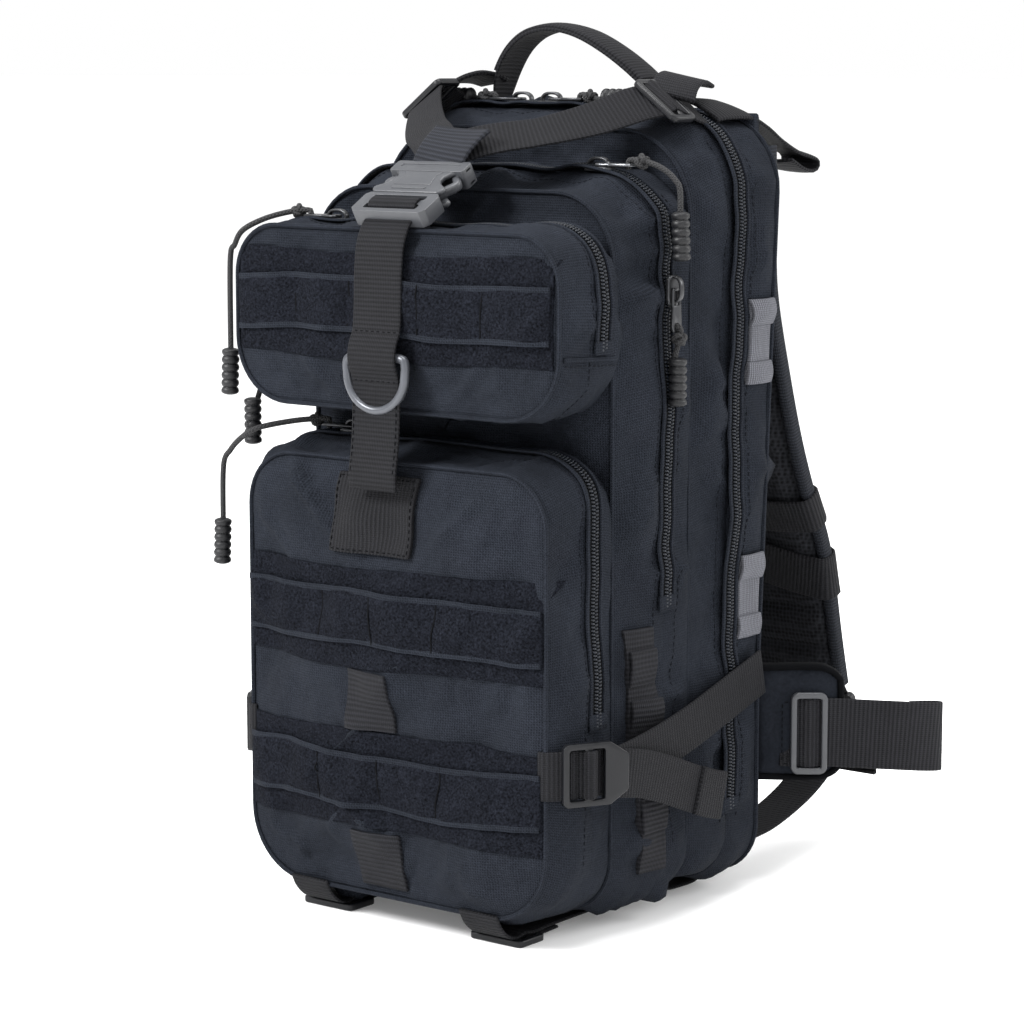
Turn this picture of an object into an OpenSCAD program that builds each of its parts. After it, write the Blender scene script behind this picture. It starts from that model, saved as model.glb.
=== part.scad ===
// Trauma backpack: a two-pocket medical assault pack with zipped compartments,
// webbing harness and plastic hardware.
// The front faces -Y, up is +Z, and it stands on z = 0.

/* [Main compartment] */
// Width of the main compartment
main_w = 212; // [200:1:224]
// Height of its top above the ground
main_top = 420; // [415:1:426]
// Depth of the front half, from the middle compartment to the zipper
main_front_d = 35; // [30:1:38]
// Depth of the rear half, from the zipper to the back panel
main_rear_d = 30; // [28:1:36]
// Radius of the two top corners
top_r = 42; // [36:1:46]

/* [Middle compartment] */
// Width of the middle compartment
middle_w = 210; // [200:1:212]
// Height of its top above the ground
middle_top = 388; // [384:1:390]
// Depth of the middle compartment
middle_d = 62; // [56:1:64]

/* [Front pockets] */
// Depth of both front pockets
pocket_d = 60; // [54:1:60]
// Width of the lower pocket
lower_w = 200; // [190:1:204]
// Height of the lower pocket's top above the ground
lower_top = 250; // [244:1:252]
// Width of the upper pocket
upper_w = 214; // [204:1:216]
// Height of the upper pocket's bottom above the ground
upper_bottom = 270; // [266:1:274]
// Height of the upper pocket's top above the ground
upper_top = 360; // [356:1:362]

/* [Straps] */
// Width of the front strap
front_strap_w = 31; // [28:1:32]
// Width of the compression straps
side_strap_w = 25; // [20:1:25]
// Width of the waist webbing
waist_w = 38; // [34:1:38]
// Width of the padded shoulder straps
shoulder_w = 62; // [56:1:64]
// Thickness of the padded shoulder straps
shoulder_t = 12; // [10:0.5:12]
// Height of the carry handle above the top
handle_rise = 45; // [40:1:55]

/* [Hidden] */
$fn = 48;

// Planes from front to back. Here y = 0 lies inside the middle compartment;
// place() moves everything so that the origin is the middle of the footprint.
wall = 3;
gap = 0.3;
base_z = 6;
seam_y = 18;
middle_y = seam_y - middle_d;
pocket_y = middle_y - pocket_d;
main_zip_y = seam_y + main_front_d;
back_y = main_zip_y + main_rear_d;
middle_zip_y = -7;
lower_zip_y = -64;
upper_zip_y = -66;
chain_w = 9;
chain_t = 2.2;
pad_t = 8;
pad_y = back_y + pad_t;

web_t = 1.6;
loop_t = 1.2;
strip_t = 1.6;
loop_h = 50;
strip_h = 25;
loop_side = 6;
row_z = [80, 165, 323.5];
strap_y = pocket_y - loop_t - strip_t - 1.1;
ring_z = 299;
ring_y = strap_y - web_t / 2 - 2.5;
ring_wire = 2.3;
tunnel_r = 3.6;

// The D-ring's tunnel reaches furthest forward, the shoulder webbing's tail furthest back.
rear_reach = 222;
mid_y = (rear_reach + ring_y - tunnel_r) / 2;

patch_z0 = 198;
patch_z1 = 238;

buckle_angle = 30;
buckle_at = [0, -101, 368];
buckle_w = 48;
buckle_t = 10;
male_l = 18;
female_l = 28;

handle_w = 23;
handle_y = main_zip_y + 18.6;

hinge_y = back_y + pad_t + 7;
hinge_z = 404;
strap_x = 66;

wing_at = [104, 98];
wing_angle = 38;
wing_z0 = 60;
wing_z1 = 122;
wing_t = 8;
wing_l = 36;
web_l = 84;
waist_z = 86;

lock_at = [101, -93];
lock_angle = 62;
lock_z = 95;
lock_l = 36;
lock_w = 32;

module place() translate([0, -mid_y, 0]) children();

// Rounded rectangle, standing on z0, with its own top and bottom corner radii.
module front_outline(w, z0, z1, r_top, r_low) {
    translate([-w / 2 + r_low, z0]) square([w - 2 * r_low, r_low]);
    translate([-w / 2, z0 + r_low]) square([w, z1 - z0 - r_low - r_top]);
    translate([-w / 2 + r_top, z1 - r_top]) square([w - 2 * r_top, r_top]);
    for (side = [-1, 1]) {
        translate([side * (w / 2 - r_low), z0 + r_low]) circle(r_low);
        translate([side * (w / 2 - r_top), z1 - r_top]) circle(r_top);
    }
}

// That outline as a solid between two planes y0 and y1.
module block_between(y0, y1, w, z0, z1, r_top, r_low, grow = 0) {
    translate([0, y1, 0]) rotate([90, 0, 0]) linear_extrude(y1 - y0)
        front_outline(w + 2 * grow, z0 - grow, z1 + grow, r_top + grow, r_low + grow);
}

// An open-backed or open-fronted fabric shell.
module cup(y0, y1, w, z0, z1, r_top, r_low, open_back = true) {
    cut0 = open_back ? y0 + wall : y0 - 1;
    cut1 = open_back ? y1 + 1 : y1 - wall;
    difference() {
        block_between(y0, y1, w, z0, z1, r_top, r_low);
        block_between(cut0, cut1, w, z0, z1, r_top, r_low, -wall);
    }
}

// Zipper chain that runs over the top of an outline and down both sides to z_end.
module zip_chain(y, w, z0, z1, r_top, r_low, z_end) {
    difference() {
        block_between(y - chain_w / 2, y + chain_w / 2, w, z0, z1, r_top, r_low, chain_t);
        block_between(y - chain_w, y + chain_w, w, z0, z1, r_top, r_low);
        translate([-w, y - chain_w, z0 - 20]) cube([2 * w, 2 * chain_w, z_end - z0 + 20]);
    }
}

// Side normals of a polyline, used to give it thickness.
function unit(v) = v / norm(v);
function left_of(v) = [-v[1], v[0]];
function dir_at(p, i) = unit(p[min(i + 1, len(p) - 1)] - p[max(i - 1, 0)]);
function band(p, t) = concat(
    [for (i = [0 : len(p) - 1]) p[i] + left_of(dir_at(p, i)) * t / 2],
    [for (i = [len(p) - 1 : -1 : 0]) p[i] - left_of(dir_at(p, i)) * t / 2]
);

// A flat strap whose path lies in the YZ plane and whose width runs along X.
module strap_yz(path, t, w, x = 0) {
    translate([x - w / 2, 0, 0]) rotate([90, 0, 90]) linear_extrude(w) polygon(band(path, t));
}

// A flat strap whose path lies in the XZ plane and whose width runs along Y.
module strap_xz(path, t, w, y) {
    translate([0, y + w / 2, 0]) rotate([90, 0, 0]) linear_extrude(w) polygon(band(path, t));
}

module box_between(a, b) translate(a) cube(b - a);

// A rectangular loop of wire-like section, flat in its own XY plane.
module flat_frame(l, w, t, edge) {
    difference() {
        translate([-l / 2, -w / 2, 0]) cube([l, w, t]);
        translate([-l / 2 + edge, -w / 2 + edge, -1]) cube([l - 2 * edge, w - 2 * edge, t + 2]);
    }
}

// A tri-glide or ladder lock: a frame with one bar or two across it.
module barred_frame(l, w, t, edge, bars) {
    flat_frame(l, w, t, edge);
    for (x = bars) translate([x - 1.6, -w / 2, 0]) cube([3.2, w, t]);
}

module main_rear_shell() color("#1d222b")
    cup(main_zip_y + gap, back_y, main_w, base_z, main_top, top_r, 22, false);

module main_front_shell() color("#1f242d")
    cup(seam_y, main_zip_y - gap, main_w, base_z, main_top, top_r, 22, true);

module middle_compartment() color("#21262f")
    cup(middle_y, seam_y, middle_w, base_z, middle_top, 38, 22, true);

module upper_pocket() color("#20252e")
    cup(pocket_y, middle_y, upper_w, upper_bottom, upper_top, 22, 20, true);

module lower_pocket() color("#20252e")
    cup(pocket_y, middle_y, lower_w, base_z, lower_top, 26, 20, true);

module back_pad() color("#17191c")
    block_between(back_y, pad_y, main_w - 16, 30, 400, 36, 20);

// Stiffening sheet and water-bladder sleeve that stand inside against the back panel.
module frame_sheet() color("#2b2b2b")
    block_between(back_y - wall - 2.2, back_y - wall - gap, main_w - 24, 18, 404, 34, 14);

module hydration_sleeve() color("#262a30")
    block_between(back_y - wall - 6.5, back_y - wall - 2.8, main_w - 40, 24, 340, 8, 14);

// Mesh pocket on the front half of the main compartment, organiser in the middle one.
module inner_pockets() color("#15171a") {
    block_between(seam_y + wall + gap, seam_y + wall + 2.3, main_w - 34, 30, 200, 6, 14);
    block_between(middle_y + wall + gap, middle_y + wall + 2.3, middle_w - 34, 40, 230, 6, 14);
}

module main_zipper() color("#0d0e10")
    zip_chain(main_zip_y, main_w, base_z, main_top, top_r, 22, 44);

module middle_zipper() color("#0d0e10")
    zip_chain(middle_zip_y, middle_w, base_z, middle_top, 38, 22, 166);

module upper_zipper() color("#0d0e10")
    zip_chain(upper_zip_y, upper_w, upper_bottom, upper_top, 22, 20, 296);

module lower_zipper() color("#0d0e10")
    zip_chain(lower_zip_y, lower_w, base_z, lower_top, 26, 20, 112);

// Soft loop panels: one on the upper pocket, two on the lower pocket.
module loop_fields() color("#0e0f11")
    for (i = [0 : 2]) {
        half = (i == 2 ? upper_w : lower_w) / 2 - loop_side;
        box_between([-half, pocket_y - loop_t, row_z[i] - loop_h / 2],
                    [half, pocket_y, row_z[i] + loop_h / 2]);
    }

module loop_strips() color("#121316")
    for (i = [0 : 2]) {
        half = (i == 2 ? upper_w : lower_w) / 2 - loop_side;
        box_between([-half, pocket_y - loop_t - strip_t, row_z[i] - strip_h / 2],
                    [half, pocket_y - loop_t, row_z[i] + strip_h / 2]);
    }

// The adjustable strap from the buckle down over the upper pocket, with a sewn
// tunnel for the bar of the D-ring.
module front_strap() color("#232427") {
    difference() {
        union() {
            strap_yz([[strap_y, patch_z1 + 1], [strap_y, 357], [-104, 364.5]], web_t, front_strap_w);
            box_between([-front_strap_w / 2, ring_y - tunnel_r, ring_z - 4.5],
                        [front_strap_w / 2, strap_y - web_t / 2 + 0.2, ring_z + 4.5]);
        }
        translate([-front_strap_w, ring_y, ring_z]) rotate([0, 90, 0])
            cylinder(r = ring_wire + 0.35, h = 2 * front_strap_w);
    }
}

// Webbing sewn on the lower pocket: the square patch and two short runs between the loop panels.
module front_webbing() color("#232427") {
    box_between([-26, pocket_y - web_t, patch_z0], [26, pocket_y, patch_z1]);
    box_between([-14, pocket_y - web_t, row_z[0] + loop_h / 2],
                [14, pocket_y, row_z[1] - loop_h / 2]);
    box_between([-14, pocket_y - web_t, 24], [14, pocket_y, row_z[0] - loop_h / 2]);
}

module d_ring() color("#55585d")
    translate([0, ring_y, ring_z]) {
        translate([-19, 0, 0]) rotate([0, 90, 0]) cylinder(r = ring_wire, h = 38);
        for (side = [-1, 1]) translate([side * 19, 0, -8]) cylinder(r = ring_wire, h = 8);
        for (side = [-1, 1]) translate([side * 19, 0, 0]) sphere(ring_wire);
        translate([0, 0, -8]) difference() {
            rotate([90, 0, 0]) rotate_extrude() translate([19, 0]) circle(ring_wire);
            translate([-30, -5, 0]) cube([60, 10, 30]);
        }
    }

module at_buckle() translate(buckle_at) rotate([buckle_angle, 0, 0]) children();

// Side-release buckle: its socket, open at the front and at both sides.
module buckle_female() color("#2c2e31") at_buckle()
    difference() {
        translate([-buckle_w / 2, male_l + gap, -buckle_t / 2]) cube([buckle_w, female_l, buckle_t]);
        translate([-20.5, male_l - 1, -3]) cube([41, 22, 6]);
        for (side = [-1, 1]) translate([side * 23 - 4, male_l + 6, -3]) cube([8, 12, 6]);
    }

// Its plug: a webbing frame, two prongs and a centre guide.
module buckle_male() color("#2c2e31") at_buckle() {
    difference() {
        translate([-buckle_w / 2, 0, -4.5]) cube([buckle_w, male_l, 9]);
        translate([-16.5, 3.5, -5]) cube([33, 4, 10]);
        translate([-16.5, 10.5, -5]) cube([33, 3.5, 10]);
    }
    for (side = [-1, 1]) translate([side * 18 - 2, male_l - 1, -2.6]) cube([4, 20, 5.2]);
    translate([-2.5, male_l - 1, -2.6]) cube([5, 17, 5.2]);
}

// Sewn patch behind the buckle and the two straps that spread to the top corners,
// where each ends short of a flat slide that leans with the rounded corner.
corner_lean = 37;
module yoke() color("#232427") {
    strap_yz([[-59, 395], [-52, 405], [-47, 412]], 2.4, 44);
    for (side = [-1, 1])
        hull() {
            translate([side * 18, -46, 402]) rotate([-40, 0, 0]) cube([6, web_t, 20], center = true);
            translate([side * 75, 13, 425]) rotate([0, side * corner_lean, 0]) cube([24, 4, web_t], center = true);
        }
}

module yoke_slides() color("#2c2e31")
    for (side = [-1, 1]) translate([side * 77, 28, 424.5]) rotate([0, side * corner_lean, 0])
        rotate([0, 0, 90]) barred_frame(20, 33, 3.4, 3.6, [0]);

// An arch of doubled webbing, folded narrow where its two feet meet the top.
module carry_handle() color("#232427") {
    arch = [for (a = [26 : 8 : 154]) handle_point(a)];
    feet = [handle_point(2), handle_point(14), handle_point(27)];
    strap_xz(arch, 2.4, handle_w, handle_y);
    for (side = [0, 1]) mirror([side, 0, 0]) strap_xz(feet, 2.4, 6, handle_y);
}

function handle_point(a) = [57 * cos(a), main_top + 2.5 + (handle_rise - 2.5) * pow(sin(a), 0.8)];

shoulder_path = [
    [hinge_y, hinge_z], [hinge_y, 360], [hinge_y + 3, 319], [hinge_y + 18, 272],
    [hinge_y + 29, 241], [hinge_y + 42, 212], [hinge_y + 60, 176], [hinge_y + 74, 123], [hinge_y + 82, 92]
];

module shoulder_strap(side) color("#141517")
    strap_yz(shoulder_path, shoulder_t, shoulder_w, side * strap_x);

module shoulder_webbing(side) color("#232427") {
    strap_yz([[back_y + 0.1, 24], [112, 26], [152, 37], [190, 61]], web_t, side_strap_w, side * 82);
    strap_yz([[205, 61], [213, 53], [rear_reach - 0.6, 42]], web_t, side_strap_w, side * 82);
}

module strap_adjuster(side) color("#2c2e31")
    translate([side * 82, 193.5, 73.5]) rotate([-67, 0, 0]) rotate([0, 0, 90])
        barred_frame(lock_l, lock_w, 4, 4, [-4, 6]);

module load_lifters() color("#232427")
    for (side = [-1, 1])
        strap_yz([[60.5, 421.4], [84, 420.8], [106, 414.5], [126, 402.5], [144, 394.5]], web_t, side_strap_w, side * 84);

// Compression strap from the ladder lock round the side to the rear seam, with its free tail.
module compression_strap(side) color("#232427") {
    xs = side * 115;
    hull() {
        translate([xs, -54, lock_z]) cube([web_t, 1, side_strap_w], center = true);
        translate([side * 110.5, 40, 112]) cube([web_t, 1, side_strap_w], center = true);
    }
    hull() {
        translate([side * 110.5, 40, 112]) cube([web_t, 1, side_strap_w], center = true);
        translate([side * 108, 76, 121]) cube([web_t, 1, side_strap_w], center = true);
    }
    hull() {
        translate([side * 119, -54, lock_z - 2]) cube([web_t, 1, side_strap_w], center = true);
        translate([side * 117, 8, lock_z - 26]) cube([web_t, 1, side_strap_w], center = true);
    }
}

module at_lock(side) mirror([side < 0 ? 1 : 0, 0, 0])
    translate([lock_at[0] + 2.5, lock_at[1], lock_z]) rotate([0, 0, lock_angle]) rotate([90, 0, 0]) children();

module ladder_lock(side) color("#2c2e31")
    at_lock(side) translate([lock_l / 2, 0, 0]) barred_frame(lock_l, lock_w, 4, 3.6, [-3, 7]);

module lock_anchors() color("#232427")
    for (side = [-1, 1]) mirror([side < 0 ? 1 : 0, 0, 0])
        box_between([lower_w / 2 + gap, -98, lock_z - side_strap_w / 2],
                    [lower_w / 2 + gap + web_t, -74, lock_z + side_strap_w / 2]);

module at_wing(side) mirror([side < 0 ? 1 : 0, 0, 0])
    translate([wing_at[0], wing_at[1], 0]) rotate([0, 0, wing_angle]) children();

module hip_wing(side) color("#1d222b") at_wing(side)
    translate([0, wing_t / 2, 0]) rotate([90, 0, 0]) linear_extrude(wing_t)
        polygon([[0, wing_z0], [wing_l - 8, wing_z0 + 2], [wing_l, wing_z0 + 10],
                 [wing_l, wing_z1 - 10], [wing_l - 8, wing_z1 - 2], [0, wing_z1]]);

module waist_webbing(side) color("#232427") at_wing(side)
    translate([2, -wing_t / 2 - gap - web_t, waist_z - waist_w / 2]) cube([web_l - 2, web_t, waist_w]);

module waist_slide(side) color("#2c2e31") at_wing(side)
    translate([18.5, -wing_t / 2 - 2 * gap - web_t, waist_z]) rotate([90, 0, 0])
        barred_frame(20, 45, 3.6, 4, []);

// Two straps under the base for a rolled load, sewn at the back and adjusted at the front.
module bottom_straps() color("#232427")
    for (side = [-1, 1]) {
        box_between([side * 57 - 12.5, -86, 4], [side * 57 + 12.5, 76, 5.6]);
        box_between([side * 57 - 12.5, 46, 0], [side * 57 + 12.5, 76, 4]);
    }

module bottom_slides() color("#2c2e31")
    for (side = [-1, 1]) translate([side * 57, -77, 0]) rotate([0, 0, 90])
        barred_frame(20, 33, 3.6, 3.6, [0]);

// Daisy-chain webbing on the sides of the middle compartment, and the two soft
// tabs on each side of the back seam.
module side_webbing() color("#2a2b2e")
    for (side = [-1, 1]) mirror([side < 0 ? 1 : 0, 0, 0]) {
        box_between([middle_w / 2, -36, 30], [middle_w / 2 + web_t, -16, 160]);
        for (z = [150, 300])
            box_between([main_w / 2, 64, z - 4], [main_w / 2 + 2, 82, z + 38]);
    }

// Zipper sliders. In its own frame a slider travels along X, its pull turns
// about Y and the chain lies in the plane z = 0.
eye_z = 3.7;

module slider_body() color("#3a3c40") {
    translate([-7, -5.5, gap]) cube([14, 11, 2]);
    for (x = [-6, 4.6]) translate([x, -1.6, gap + 1.5]) cube([1.4, 3.2, 4.3]);
    translate([-6, -1.6, eye_z + 1.5]) cube([12, 3.2, 1.2]);
}

// The pull: a wire eye under the bridge, a metal tab, a cord and a ribbed grip.
// drop is the length of cord that hangs down past an edge, 0 where the pull lies straight.
tab_end = 21;
cord_r = 1.9;
grip_r = 4.7;
grip_l = 24;
over_edge = 32;

module pull_body(drop) color("#26282b") {
    translate([0, -3.6, eye_z]) rotate([-90, 0, 0]) cylinder(r = 0.8, h = 7.2);
    for (y = [-3.6, 2.4]) translate([0, y, eye_z - 0.8]) cube([9, 1.2, 1.6]);
    translate([8, -3.6, eye_z - 0.8]) cube([tab_end - 7, 7.2, 1.6]);
    if (drop == 0) {
        translate([tab_end, 0, eye_z]) rotate([0, 90, 0]) cylinder(r = cord_r, h = 15);
        translate([tab_end + 13, 0, eye_z + 1.2]) rotate([0, 90, 0]) cylinder(r = grip_r, h = grip_l);
    } else {
        translate([tab_end, 0, eye_z]) rotate([0, 90, 0]) cylinder(r = cord_r, h = over_edge);
        translate([tab_end + over_edge, 0, eye_z]) sphere(cord_r);
        translate([tab_end + over_edge, 0, eye_z - drop]) cylinder(r = cord_r, h = drop);
        translate([tab_end + over_edge, 0, eye_z - drop - grip_l + 1]) cylinder(r = grip_r, h = grip_l);
    }
}

// Where each slider stands and how it is turned: on top with its pull to the
// right or to the left, or on a side with its pull hanging.
main_chain = main_top + chain_t;
over_top_left = [0, 0, 180];
right_side = [0, 90, 0];
left_side = [0, 90, 180];

module at_main_left() translate([-34, main_zip_y, main_chain]) rotate(over_top_left) children();
module at_main_right() translate([-14, main_zip_y, main_chain]) children();
module at_middle_top() translate([62, middle_zip_y, middle_top + chain_t]) children();
module at_middle_side()
    translate([middle_w / 2 + chain_t, middle_zip_y, 332]) rotate(right_side) children();
module at_upper_top()
    translate([-64, upper_zip_y, upper_top + chain_t]) rotate(over_top_left) children();
module at_upper_side()
    translate([-upper_w / 2 - chain_t, upper_zip_y, 318]) rotate(left_side) children();
module at_lower_top()
    translate([-54.2, lower_zip_y, lower_top + chain_t]) rotate(over_top_left) children();
module at_lower_side()
    translate([-lower_w / 2 - chain_t, lower_zip_y, 196]) rotate(left_side) children();

place() main_rear_shell();
place() main_front_shell();
place() middle_compartment();
place() upper_pocket();
place() lower_pocket();
place() back_pad();
place() frame_sheet();
place() hydration_sleeve();
place() inner_pockets();
place() main_zipper();
place() middle_zipper();
place() upper_zipper();
place() lower_zipper();
place() loop_fields();
place() loop_strips();
place() front_strap();
place() front_webbing();
place() d_ring();
place() buckle_female();
place() buckle_male();
place() yoke();
place() yoke_slides();
place() carry_handle();
place() shoulder_strap(-1);  // shoulder_strap_left
place() shoulder_strap(1);  // shoulder_strap_right
place() shoulder_webbing(-1);  // shoulder_webbing_left
place() shoulder_webbing(1);  // shoulder_webbing_right
place() strap_adjuster(-1);  // strap_adjuster_left
place() strap_adjuster(1);  // strap_adjuster_right
place() load_lifters();
place() compression_strap(-1);  // compression_strap_left
place() compression_strap(1);  // compression_strap_right
place() ladder_lock(-1);  // ladder_lock_left
place() ladder_lock(1);  // ladder_lock_right
place() lock_anchors();
place() hip_wing(-1);  // hip_wing_left
place() hip_wing(1);  // hip_wing_right
place() waist_webbing(-1);  // waist_webbing_left
place() waist_webbing(1);  // waist_webbing_right
place() waist_slide(-1);  // waist_slide_left
place() waist_slide(1);  // waist_slide_right
place() bottom_straps();
place() bottom_slides();
place() side_webbing();
place() at_main_left() slider_body();  // slider_main_left
place() at_main_right() slider_body();  // slider_main_right
place() at_middle_top() slider_body();  // slider_middle_top
place() at_middle_side() slider_body();  // slider_middle_side
place() at_upper_top() slider_body();  // slider_upper_top
place() at_upper_side() slider_body();  // slider_upper_side
place() at_lower_top() slider_body();  // slider_lower_top
place() at_lower_side() slider_body();  // slider_lower_side
place() at_main_left() pull_body(0);  // pull_main_left
place() at_main_right() pull_body(0);  // pull_main_right
place() at_middle_top() pull_body(24);  // pull_middle_top
place() at_middle_side() pull_body(0);  // pull_middle_side
place() at_upper_top() pull_body(12);  // pull_upper_top
place() at_upper_side() pull_body(0);  // pull_upper_side
place() at_lower_top() pull_body(24);  // pull_lower_top
place() at_lower_side() pull_body(0);  // pull_lower_side
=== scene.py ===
"""Looks of the trauma backpack: fabric, webbing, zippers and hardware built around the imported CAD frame.

Lengths are in millimetres in the fitted frame (X right seen from the front, Y back, Z up) until a mesh is
made; row() turns them into metres in the CAD row frame.
"""

import math

import bmesh
import bpy
import numpy as np
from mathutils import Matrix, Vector
from mathutils.bvhtree import BVHTree


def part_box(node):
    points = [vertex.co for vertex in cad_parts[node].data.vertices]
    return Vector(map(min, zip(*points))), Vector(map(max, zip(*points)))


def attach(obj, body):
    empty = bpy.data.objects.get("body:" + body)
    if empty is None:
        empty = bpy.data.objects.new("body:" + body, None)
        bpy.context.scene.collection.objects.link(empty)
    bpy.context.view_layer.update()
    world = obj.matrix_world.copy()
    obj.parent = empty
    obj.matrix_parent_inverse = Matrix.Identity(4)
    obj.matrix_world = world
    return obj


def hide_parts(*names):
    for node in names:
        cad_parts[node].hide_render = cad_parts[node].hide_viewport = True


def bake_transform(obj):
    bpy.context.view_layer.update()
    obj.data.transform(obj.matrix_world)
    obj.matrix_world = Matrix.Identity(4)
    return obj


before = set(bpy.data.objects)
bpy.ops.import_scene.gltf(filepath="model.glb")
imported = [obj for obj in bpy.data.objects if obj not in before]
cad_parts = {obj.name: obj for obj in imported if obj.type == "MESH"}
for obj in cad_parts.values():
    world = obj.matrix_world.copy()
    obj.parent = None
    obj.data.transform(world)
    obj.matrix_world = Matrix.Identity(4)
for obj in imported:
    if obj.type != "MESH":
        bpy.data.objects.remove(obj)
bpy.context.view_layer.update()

MM = 0.001
# A wave of one millimetre, in radians a metre.
MM_WAVE = 2000.0 * math.pi
FRONT_SHELL_Y = 18.0
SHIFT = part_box("main_front_shell")[0][1] - FRONT_SHELL_Y * MM


def row(points):
    """Fitted millimetres to metres in the row frame."""
    out = np.asarray(points, float) * MM
    out[..., 1] += SHIFT
    return out


def add_camera():
    azimuth = math.radians(38.0)
    elevation = math.radians(8.2)
    distance = 1.682
    target = Vector(row([0, 0, 207.8]))
    away = Vector((
        math.sin(azimuth) * math.cos(elevation),
        -math.cos(azimuth) * math.cos(elevation),
        math.sin(elevation),
    ))
    data = bpy.data.cameras.new("camera")
    data.lens = 110.7
    data.sensor_width = 36
    data.clip_start = 0.05
    camera = bpy.data.objects.new("camera", data)
    bpy.context.collection.objects.link(camera)
    camera.location = target + distance * away
    camera.rotation_euler = (-away).to_track_quat("-Z", "Y").to_euler()
    bpy.context.scene.camera = camera


add_camera()

# ---------------------------------------------------------------- materials


class Look:
    """A procedural material: a base colour with variation, roughness, and bumps added one by one."""

    def __init__(self, name, color, roughness, specular=0.5, metallic=0.0):
        self.material = bpy.data.materials.new(name)
        self.material.use_nodes = True
        self.tree = self.material.node_tree
        self.shader = self.tree.nodes["Principled BSDF"]
        self.shader.inputs["Base Color"].default_value = (*color, 1)
        self.shader.inputs["Roughness"].default_value = roughness
        self.shader.inputs["Metallic"].default_value = metallic
        self.shader.inputs["Specular IOR Level"].default_value = specular
        self.color = color
        self.coords = self.tree.nodes.new("ShaderNodeTexCoord")
        self.color_out = None
        self.last_bump = None

    def node(self, kind, **values):
        made = self.tree.nodes.new(kind)
        for key, value in values.items():
            if key in made.inputs:
                made.inputs[key].default_value = value
            else:
                setattr(made, key, value)
        return made

    def link(self, source, target):
        self.tree.links.new(source, target)

    def noise(self, size_mm, detail=3.0):
        made = self.node("ShaderNodeTexNoise", Scale=1000.0 / size_mm, Detail=detail)
        self.link(self.coords.outputs["Object"], made.inputs["Vector"])
        return made.outputs["Fac"]

    def math(self, operation, *values):
        made = self.node("ShaderNodeMath", operation=operation)
        for socket, value in zip(made.inputs, values):
            if isinstance(value, (int, float)):
                socket.default_value = value
            else:
                self.link(value, socket)
        return made.outputs["Value"]

    def uv_axis(self, axis):
        split = self.node("ShaderNodeSeparateXYZ")
        self.link(self.coords.outputs["UV"], split.inputs["Vector"])
        return split.outputs[axis]

    def wave(self, along, pitch_mm):
        """A sine along a value in metres."""
        return self.math("SINE", self.math("MULTIPLY", along, MM_WAVE / pitch_mm))

    def ribs(self, axis, pitch_mm):
        """A wave between 0 and 1 along one UV axis; UVs are in metres."""
        return self.math("MULTIPLY_ADD", self.wave(self.uv_axis(axis), pitch_mm), 0.5, 0.5)

    def vary(self, factor, low, high):
        """Multiplies the colour by a value between low and high that follows factor."""
        ramp = self.node("ShaderNodeMapRange")
        ramp.inputs["To Min"].default_value = low
        ramp.inputs["To Max"].default_value = high
        self.link(factor, ramp.inputs["Value"])
        scale = self.node("ShaderNodeVectorMath", operation="SCALE")
        if self.color_out is None:
            scale.inputs[0].default_value = self.color
        else:
            self.link(self.color_out, scale.inputs[0])
        self.link(ramp.outputs["Result"], scale.inputs["Scale"])
        self.color_out = scale.outputs["Vector"]
        self.link(self.color_out, self.shader.inputs["Base Color"])

    def bump(self, height, depth_mm):
        made = self.node("ShaderNodeBump", Strength=1.0, Distance=depth_mm * MM)
        self.link(height, made.inputs["Height"])
        if self.last_bump is not None:
            self.link(self.last_bump, made.inputs["Normal"])
        self.last_bump = made.outputs["Normal"]
        self.link(self.last_bump, self.shader.inputs["Normal"])


def canvas_look():
    look = Look("navy_canvas", (0.0112, 0.0131, 0.0177), 0.9, specular=0.06)
    weave = look.math("MAXIMUM", look.ribs("X", 1.3), look.ribs("Y", 1.3))
    twill = look.wave(look.math("ADD", look.uv_axis("X"), look.uv_axis("Y")), 1.9)
    look.vary(look.noise(38.0), 0.62, 1.4)
    look.vary(look.noise(1.3, 2.0), 0.55, 1.45)
    look.vary(weave, 0.6, 1.15)
    look.vary(twill, 0.94, 1.16)
    look.bump(look.noise(24.0, 3.0), 5.0)
    look.bump(look.noise(3.0, 2.0), 0.2)
    look.bump(weave, 0.3)
    return look.material


def webbing_look(name, color, across="X", pitch=2.3):
    look = Look(name, color, 0.75, specular=0.12)
    along = "Y" if across == "X" else "X"
    rib = look.ribs(across, pitch)
    thread = look.ribs(along, 1.1)
    look.vary(look.noise(14.0), 0.82, 1.18)
    look.vary(rib, 0.62, 1.25)
    look.vary(thread, 0.85, 1.15)
    look.bump(rib, 0.38)
    look.bump(thread, 0.16)
    look.bump(look.noise(1.4, 2.0), 0.12)
    return look.material


def loop_look():
    look = Look("loop_pile", (0.0062, 0.007, 0.0098), 0.95, specular=0.03)
    look.vary(look.noise(1.2, 3.0), -0.7, 2.9)
    look.vary(look.noise(9.0, 2.0), 0.75, 1.25)
    look.bump(look.noise(1.3, 4.0), 1.4)
    look.bump(look.noise(0.5, 2.0), 0.5)
    return look.material


def mesh_look():
    look = Look("air_mesh", (0.009, 0.0095, 0.0112), 0.9, specular=0.08)
    cells = look.node("ShaderNodeTexVoronoi", Scale=420.0, Randomness=0.25)
    look.link(look.coords.outputs["Object"], cells.inputs["Vector"])
    # The mesh's cell pattern, with each hole's centre painted black as painted shade inside the hole.
    look.vary(cells.outputs["Distance"], -0.05, 2.5)
    look.bump(cells.outputs["Distance"], 0.7)
    look.bump(look.noise(9.0), 0.8)
    return look.material


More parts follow.
